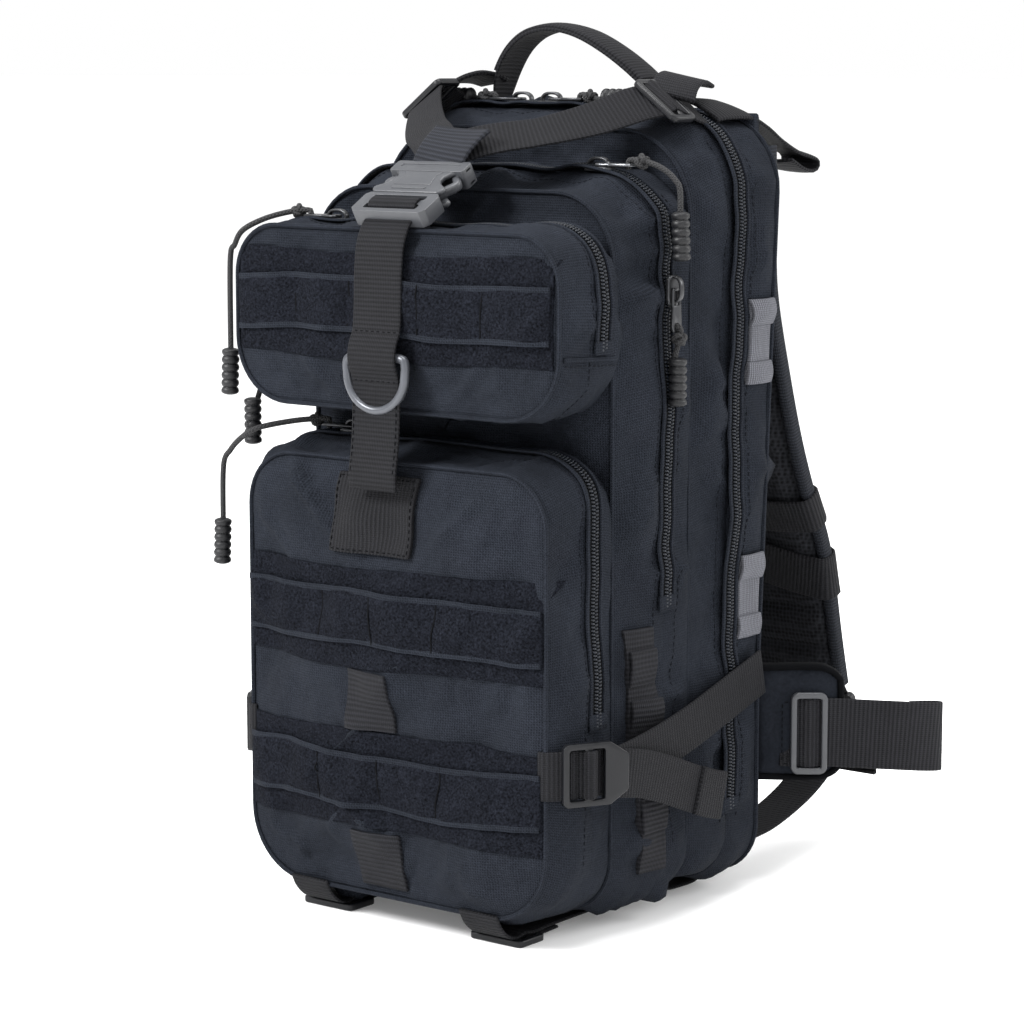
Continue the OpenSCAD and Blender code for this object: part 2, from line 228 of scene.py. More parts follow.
def plastic_look(name, color, roughness=0.42, grain=0.05, shine=0.5):
    look = Look(name, color, roughness, specular=shine)
    look.vary(look.noise(12.0), 0.85, 1.15)
    look.bump(look.noise(0.7, 2.0), grain)
    look.bump(look.noise(7.0), 0.15)
    rough = look.math("MULTIPLY_ADD", look.noise(4.0), 0.25, roughness - 0.12)
    look.link(rough, look.shader.inputs["Roughness"])
    return look.material


def metal_look(name, color, roughness, metallic=0.8):
    look = Look(name, color, roughness, metallic=metallic)
    look.vary(look.noise(5.0), 0.8, 1.2)
    look.bump(look.noise(1.2), 0.04)
    return look.material


def cord_look():
    look = Look("braided_cord", (0.0085, 0.0086, 0.0098), 0.8)
    strand = look.wave(look.math("ADD", look.uv_axis("X"), look.uv_axis("Y")), 1.9)
    cross = look.wave(look.math("SUBTRACT", look.uv_axis("X"), look.uv_axis("Y")), 1.9)
    braid = look.math("MAXIMUM", strand, cross)
    look.vary(braid, 0.7, 1.35)
    look.bump(braid, 0.3)
    look.bump(look.noise(0.8), 0.1)
    return look.material


def seam_look():
    look = Look("dark_seam", (0.0016, 0.0018, 0.0024), 0.95, specular=0.08)
    look.vary(look.noise(6.0), 0.6, 1.4)
    look.bump(look.noise(1.0), 0.1)
    return look.material


def lining_look():
    look = Look("lining_cloth", (0.03, 0.033, 0.037), 0.8)
    look.vary(look.noise(20.0), 0.85, 1.15)
    look.bump(look.noise(1.2), 0.1)
    return look.material


CANVAS = canvas_look()
WEBBING = webbing_look("charcoal_webbing", (0.0078, 0.0079, 0.0094))
# The waist webbing is the charcoal webbing painted lighter: a lit copy that paints light over the shade it
# sits in.
WAIST_WEB_PAINTED_LIGHTER = webbing_look("waist_webbing", (0.0125, 0.0125, 0.0146))
PATCH_WEB = webbing_look("patch_webbing", (0.0098, 0.01, 0.0122), across="Y", pitch=2.6)
YOKE_WEB = webbing_look("yoke_patch_webbing", (0.014, 0.0152, 0.0195), pitch=2.6)
TAB = webbing_look("soft_grey_tab", (0.1, 0.102, 0.116), pitch=1.4)
LOOP = loop_look()
AIR_MESH = mesh_look()
PLASTIC = plastic_look("satin_nylon", (0.034, 0.036, 0.041))
SLIDE_PLASTIC = plastic_look("slide_nylon", (0.006, 0.0064, 0.0078), 0.34, shine=0.24)
RUBBER = plastic_look("grip_rubber", (0.0058, 0.006, 0.0072), 0.48, 0.08, 0.3)
RING = metal_look("ring_enamel", (0.06, 0.064, 0.074), 0.33, 0.35)
SLIDER_METAL = metal_look("slider_enamel", (0.035, 0.036, 0.039), 0.3, 0.7)
TAB_METAL = metal_look("tab_metal", (0.16, 0.165, 0.175), 0.28, 0.85)
TEETH = plastic_look("coil_teeth", (0.0058, 0.0078, 0.0122), 0.34, shine=0.26)
TAPE = webbing_look("zipper_tape", (0.0036, 0.0038, 0.0046), pitch=1.6)
THREAD = plastic_look("sewing_thread", (0.006, 0.007, 0.01), 0.8, shine=0.1)
DARK_THREAD = seam_look()
BINDING = webbing_look("navy_binding", (0.0118, 0.0134, 0.0176), pitch=1.8)
CORD = cord_look()
LINING = lining_look()
SHEET = plastic_look("stiffening_sheet", (0.02, 0.02, 0.02))

# ---------------------------------------------------------------- mesh tools


def make_mesh(name, points, faces, material, uvs):
    """One object from fitted-millimetre points; uvs has one pair a face corner, in metres."""
    mesh = bpy.data.meshes.new(name)
    mesh.from_pydata([tuple(p) for p in row(points)], [], [tuple(f) for f in faces])
    layer = mesh.uv_layers.new(name="metres")
    layer.data.foreach_set("uv", np.asarray(uvs, np.float32).ravel())
    mesh.polygons.foreach_set("use_smooth", np.full(len(mesh.polygons), True))
    mesh.materials.append(material)
    mesh.validate()
    mesh.update()
    obj = bpy.data.objects.new(name, mesh)
    bpy.context.collection.objects.link(obj)
    return obj


def place_on(obj, body, replaces=(), blend=None):
    """Rides on a body, or stays fixed where it is when blend is given, and stands for CAD nodes; blend's
    bodies and points are not used.
    """
    if blend is None:
        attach(obj, body)
    else:
        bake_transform(obj)
    if replaces:
        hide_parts(*replaces)
    return obj


def smooth_path(points, step=2.5):
    """A Catmull-Rom curve through the points, sampled about every step millimetres."""
    p = np.asarray(points, float)
    ends = np.vstack([2 * p[0] - p[1], p, 2 * p[-1] - p[-2]])
    out = []
    for i in range(1, len(ends) - 2):
        a, b, c, d = ends[i - 1:i + 3]
        count = max(2, int(np.linalg.norm(c - b) / step))
        t = np.linspace(0, 1, count, endpoint=False)[:, None]
        out.append(0.5 * (2 * b + (c - a) * t + (2 * a - 5 * b + 4 * c - d) * t ** 2
                          + (3 * b - a - 3 * c + d) * t ** 3))
    out.append(p[-1:])
    return np.vstack(out)


def unit(v):
    v = np.asarray(v, float)
    return v / np.maximum(np.linalg.norm(v, axis=-1, keepdims=True), 1e-9)


def tangents(path, closed=False):
    if closed:
        return unit(np.roll(path, -1, 0) - np.roll(path, 1, 0))
    return unit(np.gradient(path, axis=0))


def lengths_along(path):
    steps = np.linalg.norm(np.diff(path, axis=0), axis=1)
    return np.concatenate([[0], np.cumsum(steps)])


def calm(line, rounds):
    """Evens out a row of points or values in place; its two ends stay."""
    for _ in range(rounds):
        line[1:-1] = (line[:-2] + 2 * line[1:-1] + line[2:]) / 4


def reading(values, run, at):
    """What a row of points or directions along a run comes to at one length."""
    return np.array([np.interp(at, run, column) for column in values.T])


def mirrored(points, side):
    """Points or directions of the right side; side is 1 for that side and -1 for the left."""
    return [(side * x, y, z) for x, y, z in points]


def vertex_rows(obj, what="co"):
    """A mesh's vertex places or normals, three to a row."""
    values = np.zeros(len(obj.data.vertices) * 3)
    obj.data.vertices.foreach_get(what, values)
    return values.reshape(-1, 3)


def set_vertices(obj, places):
    obj.data.vertices.foreach_set("co", places.ravel())
    obj.data.update()


def field(points, wavelength, seed):
    """A smooth random field over the points, about -1 to 1."""
    waves = 9
    rng = np.random.default_rng(seed)
    directions = unit(rng.normal(size=(waves, 3)))
    spans = wavelength * rng.uniform(0.65, 1.6, waves)
    phases = rng.uniform(0, 2 * math.pi, waves)
    value = np.sin(points @ (directions * (2 * math.pi / spans)[:, None]).T + phases)
    return value.sum(-1) / math.sqrt(waves)


def turned_over(faces, corners):
    """Quads facing the other way, with what belongs to their corners in the new order."""
    swapped = [corner for k in range(0, len(corners), 4) for corner in corners[k:k + 4][::-1]]
    return [face[::-1] for face in faces], swapped


def tube_faces(base, rings, around):
    """Quads of a tube whose rings of points start at a base index."""
    faces = []
    for i in range(rings - 1):
        for a in range(around):
            b = (a + 1) % around
            low, high = base + i * around, base + (i + 1) * around
            faces.append((low + a, low + b, high + b, high + a))
    return faces


def grid_faces(rows, columns, wrap_rows=False, wrap_columns=False):
    """Quads over a rows x columns grid of points, and the grid place of each corner for its UV."""
    faces = []
    corners = []
    for i in range(rows if wrap_rows else rows - 1):
        for j in range(columns if wrap_columns else columns - 1):
            a, b = i % rows, (i + 1) % rows
            c, d = j % columns, (j + 1) % columns
            faces.append((a * columns + c, a * columns + d, b * columns + d, b * columns + c))
            corners += [(i, j), (i, j + 1), (i + 1, j + 1), (i + 1, j)]
    return faces, corners


def sweep(name, path, sides, section, material, closed_path=False, scale=None):
    """Sweeps a closed section (side, normal pairs) along a path; sides gives the section's side direction."""
    path = np.asarray(path, float)
    along = tangents(path, closed_path)
    sides = np.broadcast_to(np.asarray(sides, float), path.shape)
    sides = unit(sides - along * (sides * along).sum(-1, keepdims=True))
    normals = np.cross(sides, along)
    section = np.asarray(section, float)
    grow = np.ones(len(path)) if scale is None else np.asarray(scale, float)
    points = (path[:, None] + sides[:, None] * section[None, :, :1] * grow[:, None, None]
              + normals[:, None] * section[None, :, 1:] * grow[:, None, None])
    rows, columns = points.shape[:2]
    faces, corners = grid_faces(rows, columns, closed_path, True)
    u = np.append(lengths_along(path), 0)
    u[-1] = u[-2] + np.linalg.norm(path[0] - path[-1])
    ring = np.vstack([section, section[:1]])
    v = lengths_along(ring)
    uvs = [(u[i] * MM, v[j] * MM) for i, j in corners]
    if not closed_path:
        for face in (list(range(columns))[::-1], [(rows - 1) * columns + j for j in range(columns)]):
            faces.append(tuple(face))
            uvs += [(section[k % columns][0] * MM, section[k % columns][1] * MM) for k in face]
    return make_mesh(name, points.reshape(-1, 3), faces, material, uvs)


def flat_section(width, thickness, across=10, crown=0.0):
    """A strap's section: flat, with rounded edges, bowed by crown in the middle."""
    half = width / 2
    edge = thickness / 2
    inset = half - edge * 0.3
    rise = edge * 0.7
    xs = np.linspace(-half + edge, half - edge, across)
    bow = crown * (1 - (xs / half) ** 2)
    top = [(x, edge + b) for x, b in zip(xs, bow)]
    low = [(x, -edge + b) for x, b in zip(xs[::-1], bow[::-1])]
    right = [(inset, rise), (half, 0), (inset, -rise)]
    return top + right + low + [(-x, -y) for x, y in right]


def round_section(radius, count=10):
    a = np.linspace(0, 2 * math.pi, count, endpoint=False)
    return np.column_stack([np.cos(a), np.sin(a)]) * radius


def rounded_rect(width, height, radius, count=6, x=0.0, y=0.0):
    """Points round a rectangle with round corners, each an arc of count points."""
    out = []
    for cx, cy, start in ((1, 1, 0), (-1, 1, 1), (-1, -1, 2), (1, -1, 3)):
        for k in range(count):
            a = (start + k / (count - 1)) * math.pi / 2
            out.append((x + cx * (width / 2 - radius) + radius * math.cos(a),
                        y + cy * (height / 2 - radius) + radius * math.sin(a)))
    return out


def bar_section(width, height, corner=0.35):
    """A rounded bar's section; corner is the radius as a part of the thinner side."""
    return rounded_rect(width, height, corner * min(width, height), 4)


def join(objects, name):
    """Makes one object of several, before it rides on anything."""
    bpy.ops.object.select_all(action="DESELECT")
    for obj in objects:
        obj.select_set(True)
    bpy.context.view_layer.objects.active = objects[0]
    bpy.ops.object.join()
    objects[0].name = name
    objects[0].data.name = name
    return objects[0]


def transform(obj, matrix_mm):
    """Applies a 4x4 matrix given in fitted millimetres to a mesh made near the fitted origin."""
    places = vertex_rows(obj)
    places[:, 1] -= SHIFT
    places = np.column_stack([places / MM, np.ones(len(places))]) @ np.asarray(matrix_mm).T
    set_vertices(obj, row(places[:, :3]))
    return obj


def turn(axis, degrees):
    a = math.radians(degrees)
    i, j = {"X": (1, 2), "Y": (2, 0), "Z": (0, 1)}[axis]
    m = np.eye(4)
    m[i, i] = m[j, j] = math.cos(a)
    m[i, j] = -math.sin(a)
    m[j, i] = math.sin(a)
    return m


def move(x, y, z):
    m = np.eye(4)
    m[:3, 3] = (x, y, z)
    return m


def flip(side):
    """Nothing on the right side, a mirror on the left."""
    return np.diag([float(side), 1.0, 1.0, 1.0])


HALF_TURN = np.diag([-1.0, -1.0, 1.0, 1.0])


def bake_modifiers(obj):
    """Replaces a mesh by its modified self."""
    bpy.context.view_layer.update()
    graph = bpy.context.evaluated_depsgraph_get()
    mesh = bpy.data.meshes.new_from_object(obj.evaluated_get(graph))
    obj.modifiers.clear()
    obj.data = mesh
    return obj


def round_edges(obj, radius, segments, angle):
    """Rounds the edges that turn by more than an angle in degrees."""
    soften = obj.modifiers.new("round", "BEVEL")
    soften.width = radius * MM
    soften.segments = segments
    soften.limit_method = "ANGLE"
    soften.angle_limit = math.radians(angle)
    bake_modifiers(obj)


def plate(name, edge, z0, z1, material, bevel, holes=()):
    """A slab with rounded edges from an outline in its own XY plane; holes are outlines cut through it."""
    bm = bmesh.new()
    edges = []
    for ring in (edge, *holes):
        made = [bm.verts.new(tuple(row([x, y, z0]))) for x, y in ring]
        edges += [bm.edges.new((made[i], made[(i + 1) % len(made)])) for i in range(len(made))]
    bmesh.ops.triangle_fill(bm, use_beauty=True, use_dissolve=True, edges=edges)
    bmesh.ops.recalc_face_normals(bm, faces=bm.faces)
    grown = bmesh.ops.extrude_face_region(bm, geom=bm.faces[:])
    up = [v for v in grown["geom"] if isinstance(v, bmesh.types.BMVert)]
    bmesh.ops.translate(bm, vec=(0, 0, (z1 - z0) * MM), verts=up)
    bmesh.ops.recalc_face_normals(bm, faces=bm.faces)
    mesh = bpy.data.meshes.new(name)
    bm.to_mesh(mesh)
    bm.free()
    mesh.materials.append(material)
    obj = bpy.data.objects.new(name, mesh)
    bpy.context.collection.objects.link(obj)
    round_edges(obj, bevel, 3, 32)
    obj.data.polygons.foreach_set("use_smooth", np.ones(len(obj.data.polygons), bool))
    obj.data.set_sharp_from_angle(angle=math.radians(40))
    return obj


def tree_of(obj):
    """A search tree of a finished mesh in fitted millimetres."""
    points = [Vector((v.co.x / MM, (v.co.y - SHIFT) / MM, v.co.z / MM)) for v in obj.data.vertices]
    return BVHTree.FromPolygons(points, [tuple(p.vertices) for p in obj.data.polygons])


def on_surface(point, outward, lift, reach, trees):
    """The point where the outward line through point last leaves the bag, lifted off it."""
    outward = unit(outward)
    start = Vector(np.asarray(point, float) + outward * reach)
    best = None
    for tree in trees:
        hit, _, _, distance = tree.ray_cast(start, Vector(-outward), 2 * reach)
        if hit is not None and (best is None or distance < best[1]):
            best = (np.array(hit), distance)
    base = np.asarray(point, float) if best is None else best[0]
    return base + outward * lift


# ---------------------------------------------------------------- compartments

N_EDGE, N_SIDE, N_CORNER = 44, 62, 12


def outline(half, low, top, r_top, r_low):
    """Points round a rounded rectangle in (x, z): up the right side, over the top, down the left side and
    along the bottom. Every outline has as many points, in the same order."""
    r_top = min(r_top, half - 0.2, (top - low) / 2 - 0.2)
    r_low = min(r_low, half - 0.2, (top - low) / 2 - 0.2)
    corners = [
        (half - r_low, low + r_low, r_low, -90),
        (half - r_top, top - r_top, r_top, 0),
        (-half + r_top, top - r_top, r_top, 90),
        (-half + r_low, low + r_low, r_low, 180),
    ]
    straight = (N_SIDE, N_EDGE, N_SIDE, N_EDGE)
    points = []
    for k, (x, z, r, start) in enumerate(corners):
        for a in np.radians(np.linspace(start, start + 90, N_CORNER)):
            points.append((x + r * math.cos(a), z + r * math.sin(a)))
        nx, nz, nr, n_start = corners[(k + 1) % 4]
        a = math.radians(n_start)
        end = np.array([nx + nr * math.cos(a), nz + nr * math.sin(a)])
        begin = np.array(points[-1])
        for t in np.linspace(0, 1, straight[k] + 1, endpoint=False)[1:]:
            points.append(tuple(begin + (end - begin) * t))
    return np.array(points)


def upper_width(points):
    """The bag widens with height towards its back: the upper back corners stand out."""
    x, y, z = points.T
    rise = np.clip((z - 120) / 280, 0, 1)
    back = np.clip((y - 30) / 50, 0, 1)
    points[:, 0] = x * (1 + 0.075 * rise * back - 0.02 * (1 - rise) * back)
    return points


# Farther from a seam than any of the cloth.
FAR = 999.0
# How deep the puckers beside a seam and the groove along it are.
PUCKER = 1.9
GROOVE = 1.5


def seam_points(seam, warp=None, back=0.0):
    """Points round a seam (y, half, low, top, r_top, r_low), moved back by some millimetres."""
    xz = outline(*seam[1:])
    points = np.column_stack([xz[:, 0], np.full(len(xz), float(seam[0]) + back), xz[:, 1]])
    return points if warp is None else warp(points)


def seam_stack(seams, bulges, sewn):
    """Outlines from the front seam to the back one, bulging between seams, and how far each is from the
    nearest seam that holds the cloth down."""
    stack, distances = [], []
    for k in range(len(seams) - 1):
        a, b = seams[k], seams[k + 1]
        count = max(7, int(abs(b[0] - a[0]) / 2.6))
        t = (1 - np.cos(np.linspace(0, math.pi, count))) / 2
        for s in (t if k == len(seams) - 2 else t[:-1]):
            seam = a + (b - a) * s
            out = bulges[k] * math.sin(math.pi * s) ** 0.75
            seam[1] += out
            seam[2] -= out * 0.4
            seam[3] += out
            stack.append(seam)
            distances.append(min(abs(seam[0] - seams[m][0]) for m in sewn))
    return stack, distances


def cap_rings(seam, dome, power, sign):
    """Rings that close a compartment's front (sign -1) or back (1), doming out towards the middle."""
    depth = min(seam[1], (seam[3] - seam[2]) / 2) - 0.8
    rings = []
    for d in depth * np.linspace(0, 1, 30)[1:] ** 1.25:
        rise = dome * (1 - (1 - d / depth) ** power)
        corners = [max(radius - d * 0.8, 2) for radius in seam[4:]]
        rings.append(seam_points((seam[0] + sign * rise, seam[1] - d, seam[2] + d, seam[3] - d, *corners)))
    return rings


def cloth_relief(points, distance, seed, zip_y, lumps):
    """How far the cloth stands out: lumps, creases and drag folds everywhere, gathered puckers that die out
    away from the seams and a groove along them; the zipper at zip_y holds it smooth."""
    x, y, z = np.abs(points[:, 0]), points[:, 1], points[:, 2]
    shift = lumps * field(points, 85, seed) + 0.55 * lumps * field(points, 38, seed + 1)
    shift += 0.25 * lumps * field(points, 17, seed + 2)
    folds = field(points, 46, seed + 4)
    creases = field(points * np.array([1, 0.6, 1]), 30, seed + 8)
    patches = np.clip(field(points, 75, seed + 9), 0, 1)
    shift += 0.6 * lumps * np.exp(-(creases / 0.13) ** 2) * patches
    patches = np.clip(field(points, 120, seed + 5), 0, 1)
    shift += 1.2 * lumps * (np.exp(-(folds / 0.2) ** 2) - 0.3) * patches
    # Drag folds that run slantwise down from the upper corners.
    slant = field(np.column_stack([(x + z) * 0.16, y * 0.25, (x - z) * 0.7]), 16, seed + 6)
    patches = np.clip(field(points, 95, seed + 7) + 0.3, 0, 1)
    shift += 1.5 * lumps * np.clip(slant, 0, 1.6) ** 1.6 * patches
    puckers = field(points * np.array([1, 0.12, 1]), 15, seed + 3)
    shift += PUCKER * puckers * np.exp(-distance / 11.0) * (1 - np.exp(-distance / 1.6))
    shift -= GROOVE * np.exp(-(distance / 1.5) ** 2)
    keep = np.clip(distance / 14, 0.12, 1) * (1 - 0.75 * np.exp(-((y - zip_y) / 8.0) ** 2))
    return shift * keep - GROOVE * 0.2


def compartment(name, seams, bulges, seed, sewn, zip_y, front_dome=0.0, front_power=2.2, back_dome=0.0,
                warp=None, lumps=3.3):
    """A sewn compartment lofted through its seams, each (y, half, low, top, r_top, r_low). Bulges has one
    number for each stretch between seams, and sewn lists the seams that hold the cloth down."""
    seams = np.asarray(seams, float)
    stack, near_seam = seam_stack(seams, bulges, sewn)
    front = cap_rings(stack[0], front_dome, front_power, -1)
    back = cap_rings(stack[-1], back_dome, front_power, 1)
    net = np.array(front[::-1] + [seam_points(seam) for seam in stack] + back)
    n_rows, n_cols = net.shape[:2]
    points = net.reshape(-1, 3)
    if warp is not None:
        points = warp(points)
    net = points.reshape(n_rows, n_cols, 3)
    faces, corners = turned_over(*grid_faces(n_rows, n_cols, False, True))
    # UVs run round and along the gusset, and straight across and up on the two caps.
    middle = net[len(front)]
    around = np.append(lengths_along(middle), 0)
    around[-1] = around[-2] + np.linalg.norm(middle[0] - middle[-1])
    deep = np.concatenate([[0], np.cumsum(np.linalg.norm(np.diff(net, axis=0), axis=2).mean(1))])
    uvs = []
    for k in range(0, len(corners), 4):
        face = corners[k:k + 4]
        rings = [i for i, _ in face]
        flat = max(rings) <= len(front) or min(rings) >= n_rows - 1 - len(back)
        for i, j in face:
            uvs.append(tuple(net[i, j % n_cols][[0, 2]] * MM) if flat else (around[j] * MM, deep[i] * MM))
    faces.append(tuple(range(n_cols)))
    faces.append(tuple((n_rows - 1) * n_cols + j for j in range(n_cols))[::-1])
    uvs += [(0, 0)] * (2 * n_cols)
    obj = make_mesh(name, points, faces, CANVAS, uvs)
    distance = np.repeat([FAR] * len(front) + near_seam + [FAR] * len(back), n_cols)
    if 0 in sewn:
        cap = slice(0, len(front) * n_cols)
        inward = np.linalg.norm((net[:len(front)] - middle)[:, :, [0, 2]], axis=2).ravel()
        distance[cap] = np.minimum(distance[cap], inward)
    shift = cloth_relief(points, distance, seed, zip_y, lumps)
    points = points + vertex_rows(obj, "normal") * shift[:, None]
    in_back_cap = np.arange(len(points)) >= (n_rows - len(back)) * n_cols
    points[in_back_cap, 1] = np.maximum(points[in_back_cap, 1], seams[-1][0] + 0.4)
    set_vertices(obj, row(points))
    return obj


MAIN = [(18, 101.5, 12, 411, 44, 30), (53, 103.3, 9, 420.5, 43, 30), (83, 104.5, 9, 420, 42, 28)]
MIDDLE = [(-44, 98, 12, 380.6, 36, 30), (-7, 104, 9, 390.5, 38, 28), (18, 102.5, 10, 391, 38, 28)]
LOWER = [(-98, 97.7, 17, 244, 28, 36), (-64, 100.9, 9.5, 252, 28, 36), (-43, 98, 9, 247, 28, 36)]
UPPER = [(-98, 105.5, 271, 362, 26, 33), (-66, 107.6, 268, 363, 28, 32), (-43, 101, 272, 358, 28, 32)]

CLOTHS = {
    "main_front_shell": compartment("main_front_cloth", MAIN[:2], [1.6], seed=11, sewn=[0], zip_y=53,
                                    front_dome=2, warp=upper_width),
    "main_rear_shell": compartment("main_rear_cloth", MAIN[1:], [1.6], seed=21, sewn=[1], zip_y=53,
                                   back_dome=3, warp=upper_width),
    "middle_compartment": compartment("middle_cloth", MIDDLE, [1.6, 1.0], seed=31, sewn=[0, 2], zip_y=-7,
                                      front_dome=4),
    "lower_pocket": compartment("lower_pocket_cloth", LOWER, [1.8, 0.8], seed=41, sewn=[0, 2], zip_y=-64,
                                front_dome=13, front_power=2.4, lumps=2.9),
    "upper_pocket": compartment("upper_pocket_cloth", UPPER, [1.6, 0.6], seed=51, sewn=[0, 2], zip_y=-66,
                                front_dome=4, lumps=2.3),
}
# What straps, panels and zippers are laid on.
TREE = {node: tree_of(cloth) for node, cloth in CLOTHS.items()}
MAIN_TREES = [TREE["main_front_shell"], TREE["main_rear_shell"]]
MIDDLE_TREES = [TREE["middle_compartment"]]
LOWER_TREES = [TREE["lower_pocket"]]
UPPER_TREES = [TREE["upper_pocket"]]
for node, cloth in CLOTHS.items():
    place_on(cloth, "pack", [node])


def outline_normals(points):
    return unit(np.cross([0, 1, 0], tangents(points, True)))


def bound_edge(name, seam, lean, radius, warp=None):
    """A rolled edge sewn round a seam; lean is -1 where it faces the front and 1 where it faces the back."""
    points = seam_points(seam, warp)
    normals = outline_normals(points)
    laid = points + unit(normals + np.array([0, lean * 0.8, 0])) * 0.3
    return place_on(sweep(name, laid, normals, round_section(radius, 8), CANVAS, closed_path=True), "pack")


bound_edge("lower_pocket_seam", LOWER[0], -1, 1.25)
bound_edge("upper_pocket_seam", UPPER[0], -1, 1.25)
bound_edge("middle_seam", MIDDLE[0], -1, 1.2)
bound_edge("main_seam", MAIN[0], -1, 1.2, upper_width)
bound_edge("back_seam", MAIN[2], 1, 1.4, upper_width)


def stitches(name, path, normals, material=THREAD, body="pack"):
    """A row of sewn stitches: short rounded dashes that dip at both ends."""
    pitch, length, radius, around = 3.6, 2.4, 0.32, 5
    path = np.asarray(path, float)
    normals = np.broadcast_to(np.asarray(normals, float), path.shape)
    run = lengths_along(path)
    verts, faces = [], []
    profile = [(0.0, 0.15), (0.2, 0.85), (0.5, 1.0), (0.8, 0.85), (1.0, 0.15)]
    for start in np.arange(1.0, run[-1] - length, pitch):
        faces += tube_faces(len(verts), len(profile), around)
        for part, fat in profile:
            at = start + part * length
            p = reading(path, run, at)
            n = unit(reading(normals, run, at))
            side = unit(np.cross(reading(path, run, at + 0.2) - p, n))
            for a in range(around):
                turned = 2 * math.pi * a / around
                verts.append(p + n * (radius * fat * math.sin(turned) + 0.1 * fat)
                             + side * radius * fat * math.cos(turned))
    return place_on(make_mesh(name, verts, faces, material, [(0, 0)] * (4 * len(faces))), body)


# ---------------------------------------------------------------- zippers


def highest(point, outward, lift, trees, spread=4.5):
    """The furthest out that the cloth reaches within spread of a point, front and back."""
    hits = [on_surface(np.asarray(point) + [0, d, 0], outward, lift, 20, trees) for d in (-spread, 0, spread)]
    out = max(float(np.dot(h - point, outward)) for h in hits)
    return np.asarray(point) + np.asarray(outward) * out


TAPE_WIDTH = 11.5
TEETH_WIDTH = 4.4
TEETH_PITCH = 1.8
ACROSS_TAPE = np.array([0.0, 1.0, 0.0])


def coil_teeth(name, laid, normals):
    """Two rows of coil teeth that reach past each other in turn."""
    run = lengths_along(laid)
    profile = ((0.06, 0.4), (0.3, 0.66), (0.78, 0.66), (1.08, 0.35))
    verts, faces = [], []
    for start in np.arange(2, run[-1] - 2, TEETH_PITCH):
        for side in (-1, 1):
            at = start + (TEETH_PITCH / 2 if side > 0 else 0)
            p = reading(laid, run, at)
            n = unit(reading(normals, run, at))
            t = unit(np.cross(n, ACROSS_TAPE))
            reach = ACROSS_TAPE * side * TEETH_WIDTH / 2 * 1.15 + t * TEETH_PITCH * 0.18
            faces += tube_faces(len(verts), len(profile), 6)
            for part, radius in profile:
                centre = p + reach * part + n * (0.75 + 0.75 * math.sin(math.pi * min(part, 1)))
                for a in range(6):
                    angle = a * math.pi / 3
                    verts.append(centre + t * radius * math.cos(angle) + n * radius * math.sin(angle))
    place_on(make_mesh(name, verts, faces, TEETH, [(0, 0)] * (4 * len(faces))), "pack")


def zipper(name, node, seam, low_end, trees, warp=None):
    """Tape, coil teeth and end stops over the top of an outline, down to the height of its low ends."""
    points = seam_points(seam, warp)
    right = points[(points[:, 0] > 0) & (points[:, 2] > low_end)]
    left = points[(points[:, 0] <= 0) & (points[:, 2] > low_end)]
    right = right[np.argsort(np.arctan2(right[:, 2] - 150, right[:, 0]))]
    left = left[np.argsort(np.mod(np.arctan2(left[:, 2] - 150, left[:, 0]), 2 * math.pi))]
    path = smooth_path(np.vstack([right, left])[::3], 1.0)
    normals = unit(np.cross(ACROSS_TAPE, tangents(path)))
    laid = np.array([highest(p, n, 0.5, trees) for p, n in zip(path, normals)])
    calm(laid, 30)
    band = sweep(name + "_tape", laid[::3], ACROSS_TAPE, flat_section(TAPE_WIDTH, 0.9), TAPE)
    place_on(band, "pack", [node])
    for side, tag in ((-1, "front"), (1, "back")):
        ridge = laid[::3] + normals[::3] * 0.9 + ACROSS_TAPE * side * (TAPE_WIDTH / 2 - 0.2)
        place_on(sweep(f"{name}_edge_{tag}", ridge, ACROSS_TAPE, bar_section(2.4, 1.4), CANVAS), "pack")
    coil_teeth(name + "_coil", laid, normals)
    for tag, at, stop in (("right", 0, laid[[0, 4, 8]]), ("left", -1, laid[[-9, -5, -1]])):
        section = bar_section(TAPE_WIDTH + 3, 1.8)
        place_on(sweep(f"{name}_stop_{tag}", stop + normals[at] * 0.8, ACROSS_TAPE, section, CANVAS), "pack")


zipper("main_zip", "main_zipper", MAIN[1], 45, MAIN_TREES, upper_width)
zipper("middle_zip", "middle_zipper", MIDDLE[1], 166, MIDDLE_TREES)
zipper("lower_zip", "lower_zipper", LOWER[1], 112, LOWER_TREES)
zipper("upper_zip", "upper_zipper", UPPER[1], 303, UPPER_TREES)

# Loose stitch rows beside the gusset seams.
for label, seam, offset, trees, warp in (
    ("lower_gusset", LOWER[1], -9, LOWER_TREES, None),
    ("upper_gusset", UPPER[1], -9, UPPER_TREES, None),
    ("middle_gusset_front", MIDDLE[1], -9, MIDDLE_TREES, None),
    ("middle_gusset_back", MIDDLE[1], 9, MIDDLE_TREES, None),
    ("main_gusset_front", MAIN[1], -9.5, MAIN_TREES, upper_width),
    ("main_gusset_back", MAIN[1], 9.5, MAIN_TREES, upper_width),
):
    line = seam_points(seam, warp, offset)
    line_n = outline_normals(line)
    start = int(np.argmin(np.where(line[:, 0] > 0, line[:, 2], FAR)))
    order = np.roll(np.arange(len(line)), -start)
    order = order[line[order, 2] > 40]
    line = [on_surface(p, n, 0.12, 20, trees) for p, n in zip(line[order], line_n[order])]
    stitches(label + "_stitches", line, line_n[order])

# The upper pocket's gusset is pieced below each end of its zipper.
for side, tag in ((-1, "left"), (1, "right")):
    line = np.array([
        on_surface([side * 100, y, 301 - (y + 70) * 0.05], [side, 0, 0], 0.3, 40, UPPER_TREES)
        for y in np.linspace(-95, -46, 30)
    ])
    calm(line, 4)
    place_on(sweep(f"upper_cross_seam_{tag}", line, [0, 0, 1], bar_section(2.4, 1.2), CANVAS), "pack")
    stitches(f"upper_cross_stitch_{tag}", line - np.array([0, 0, 3.2]), [side, 0, 0])

# ---------------------------------------------------------------- panels on the pocket fronts

FRONT_TREES = LOWER_TREES + UPPER_TREES


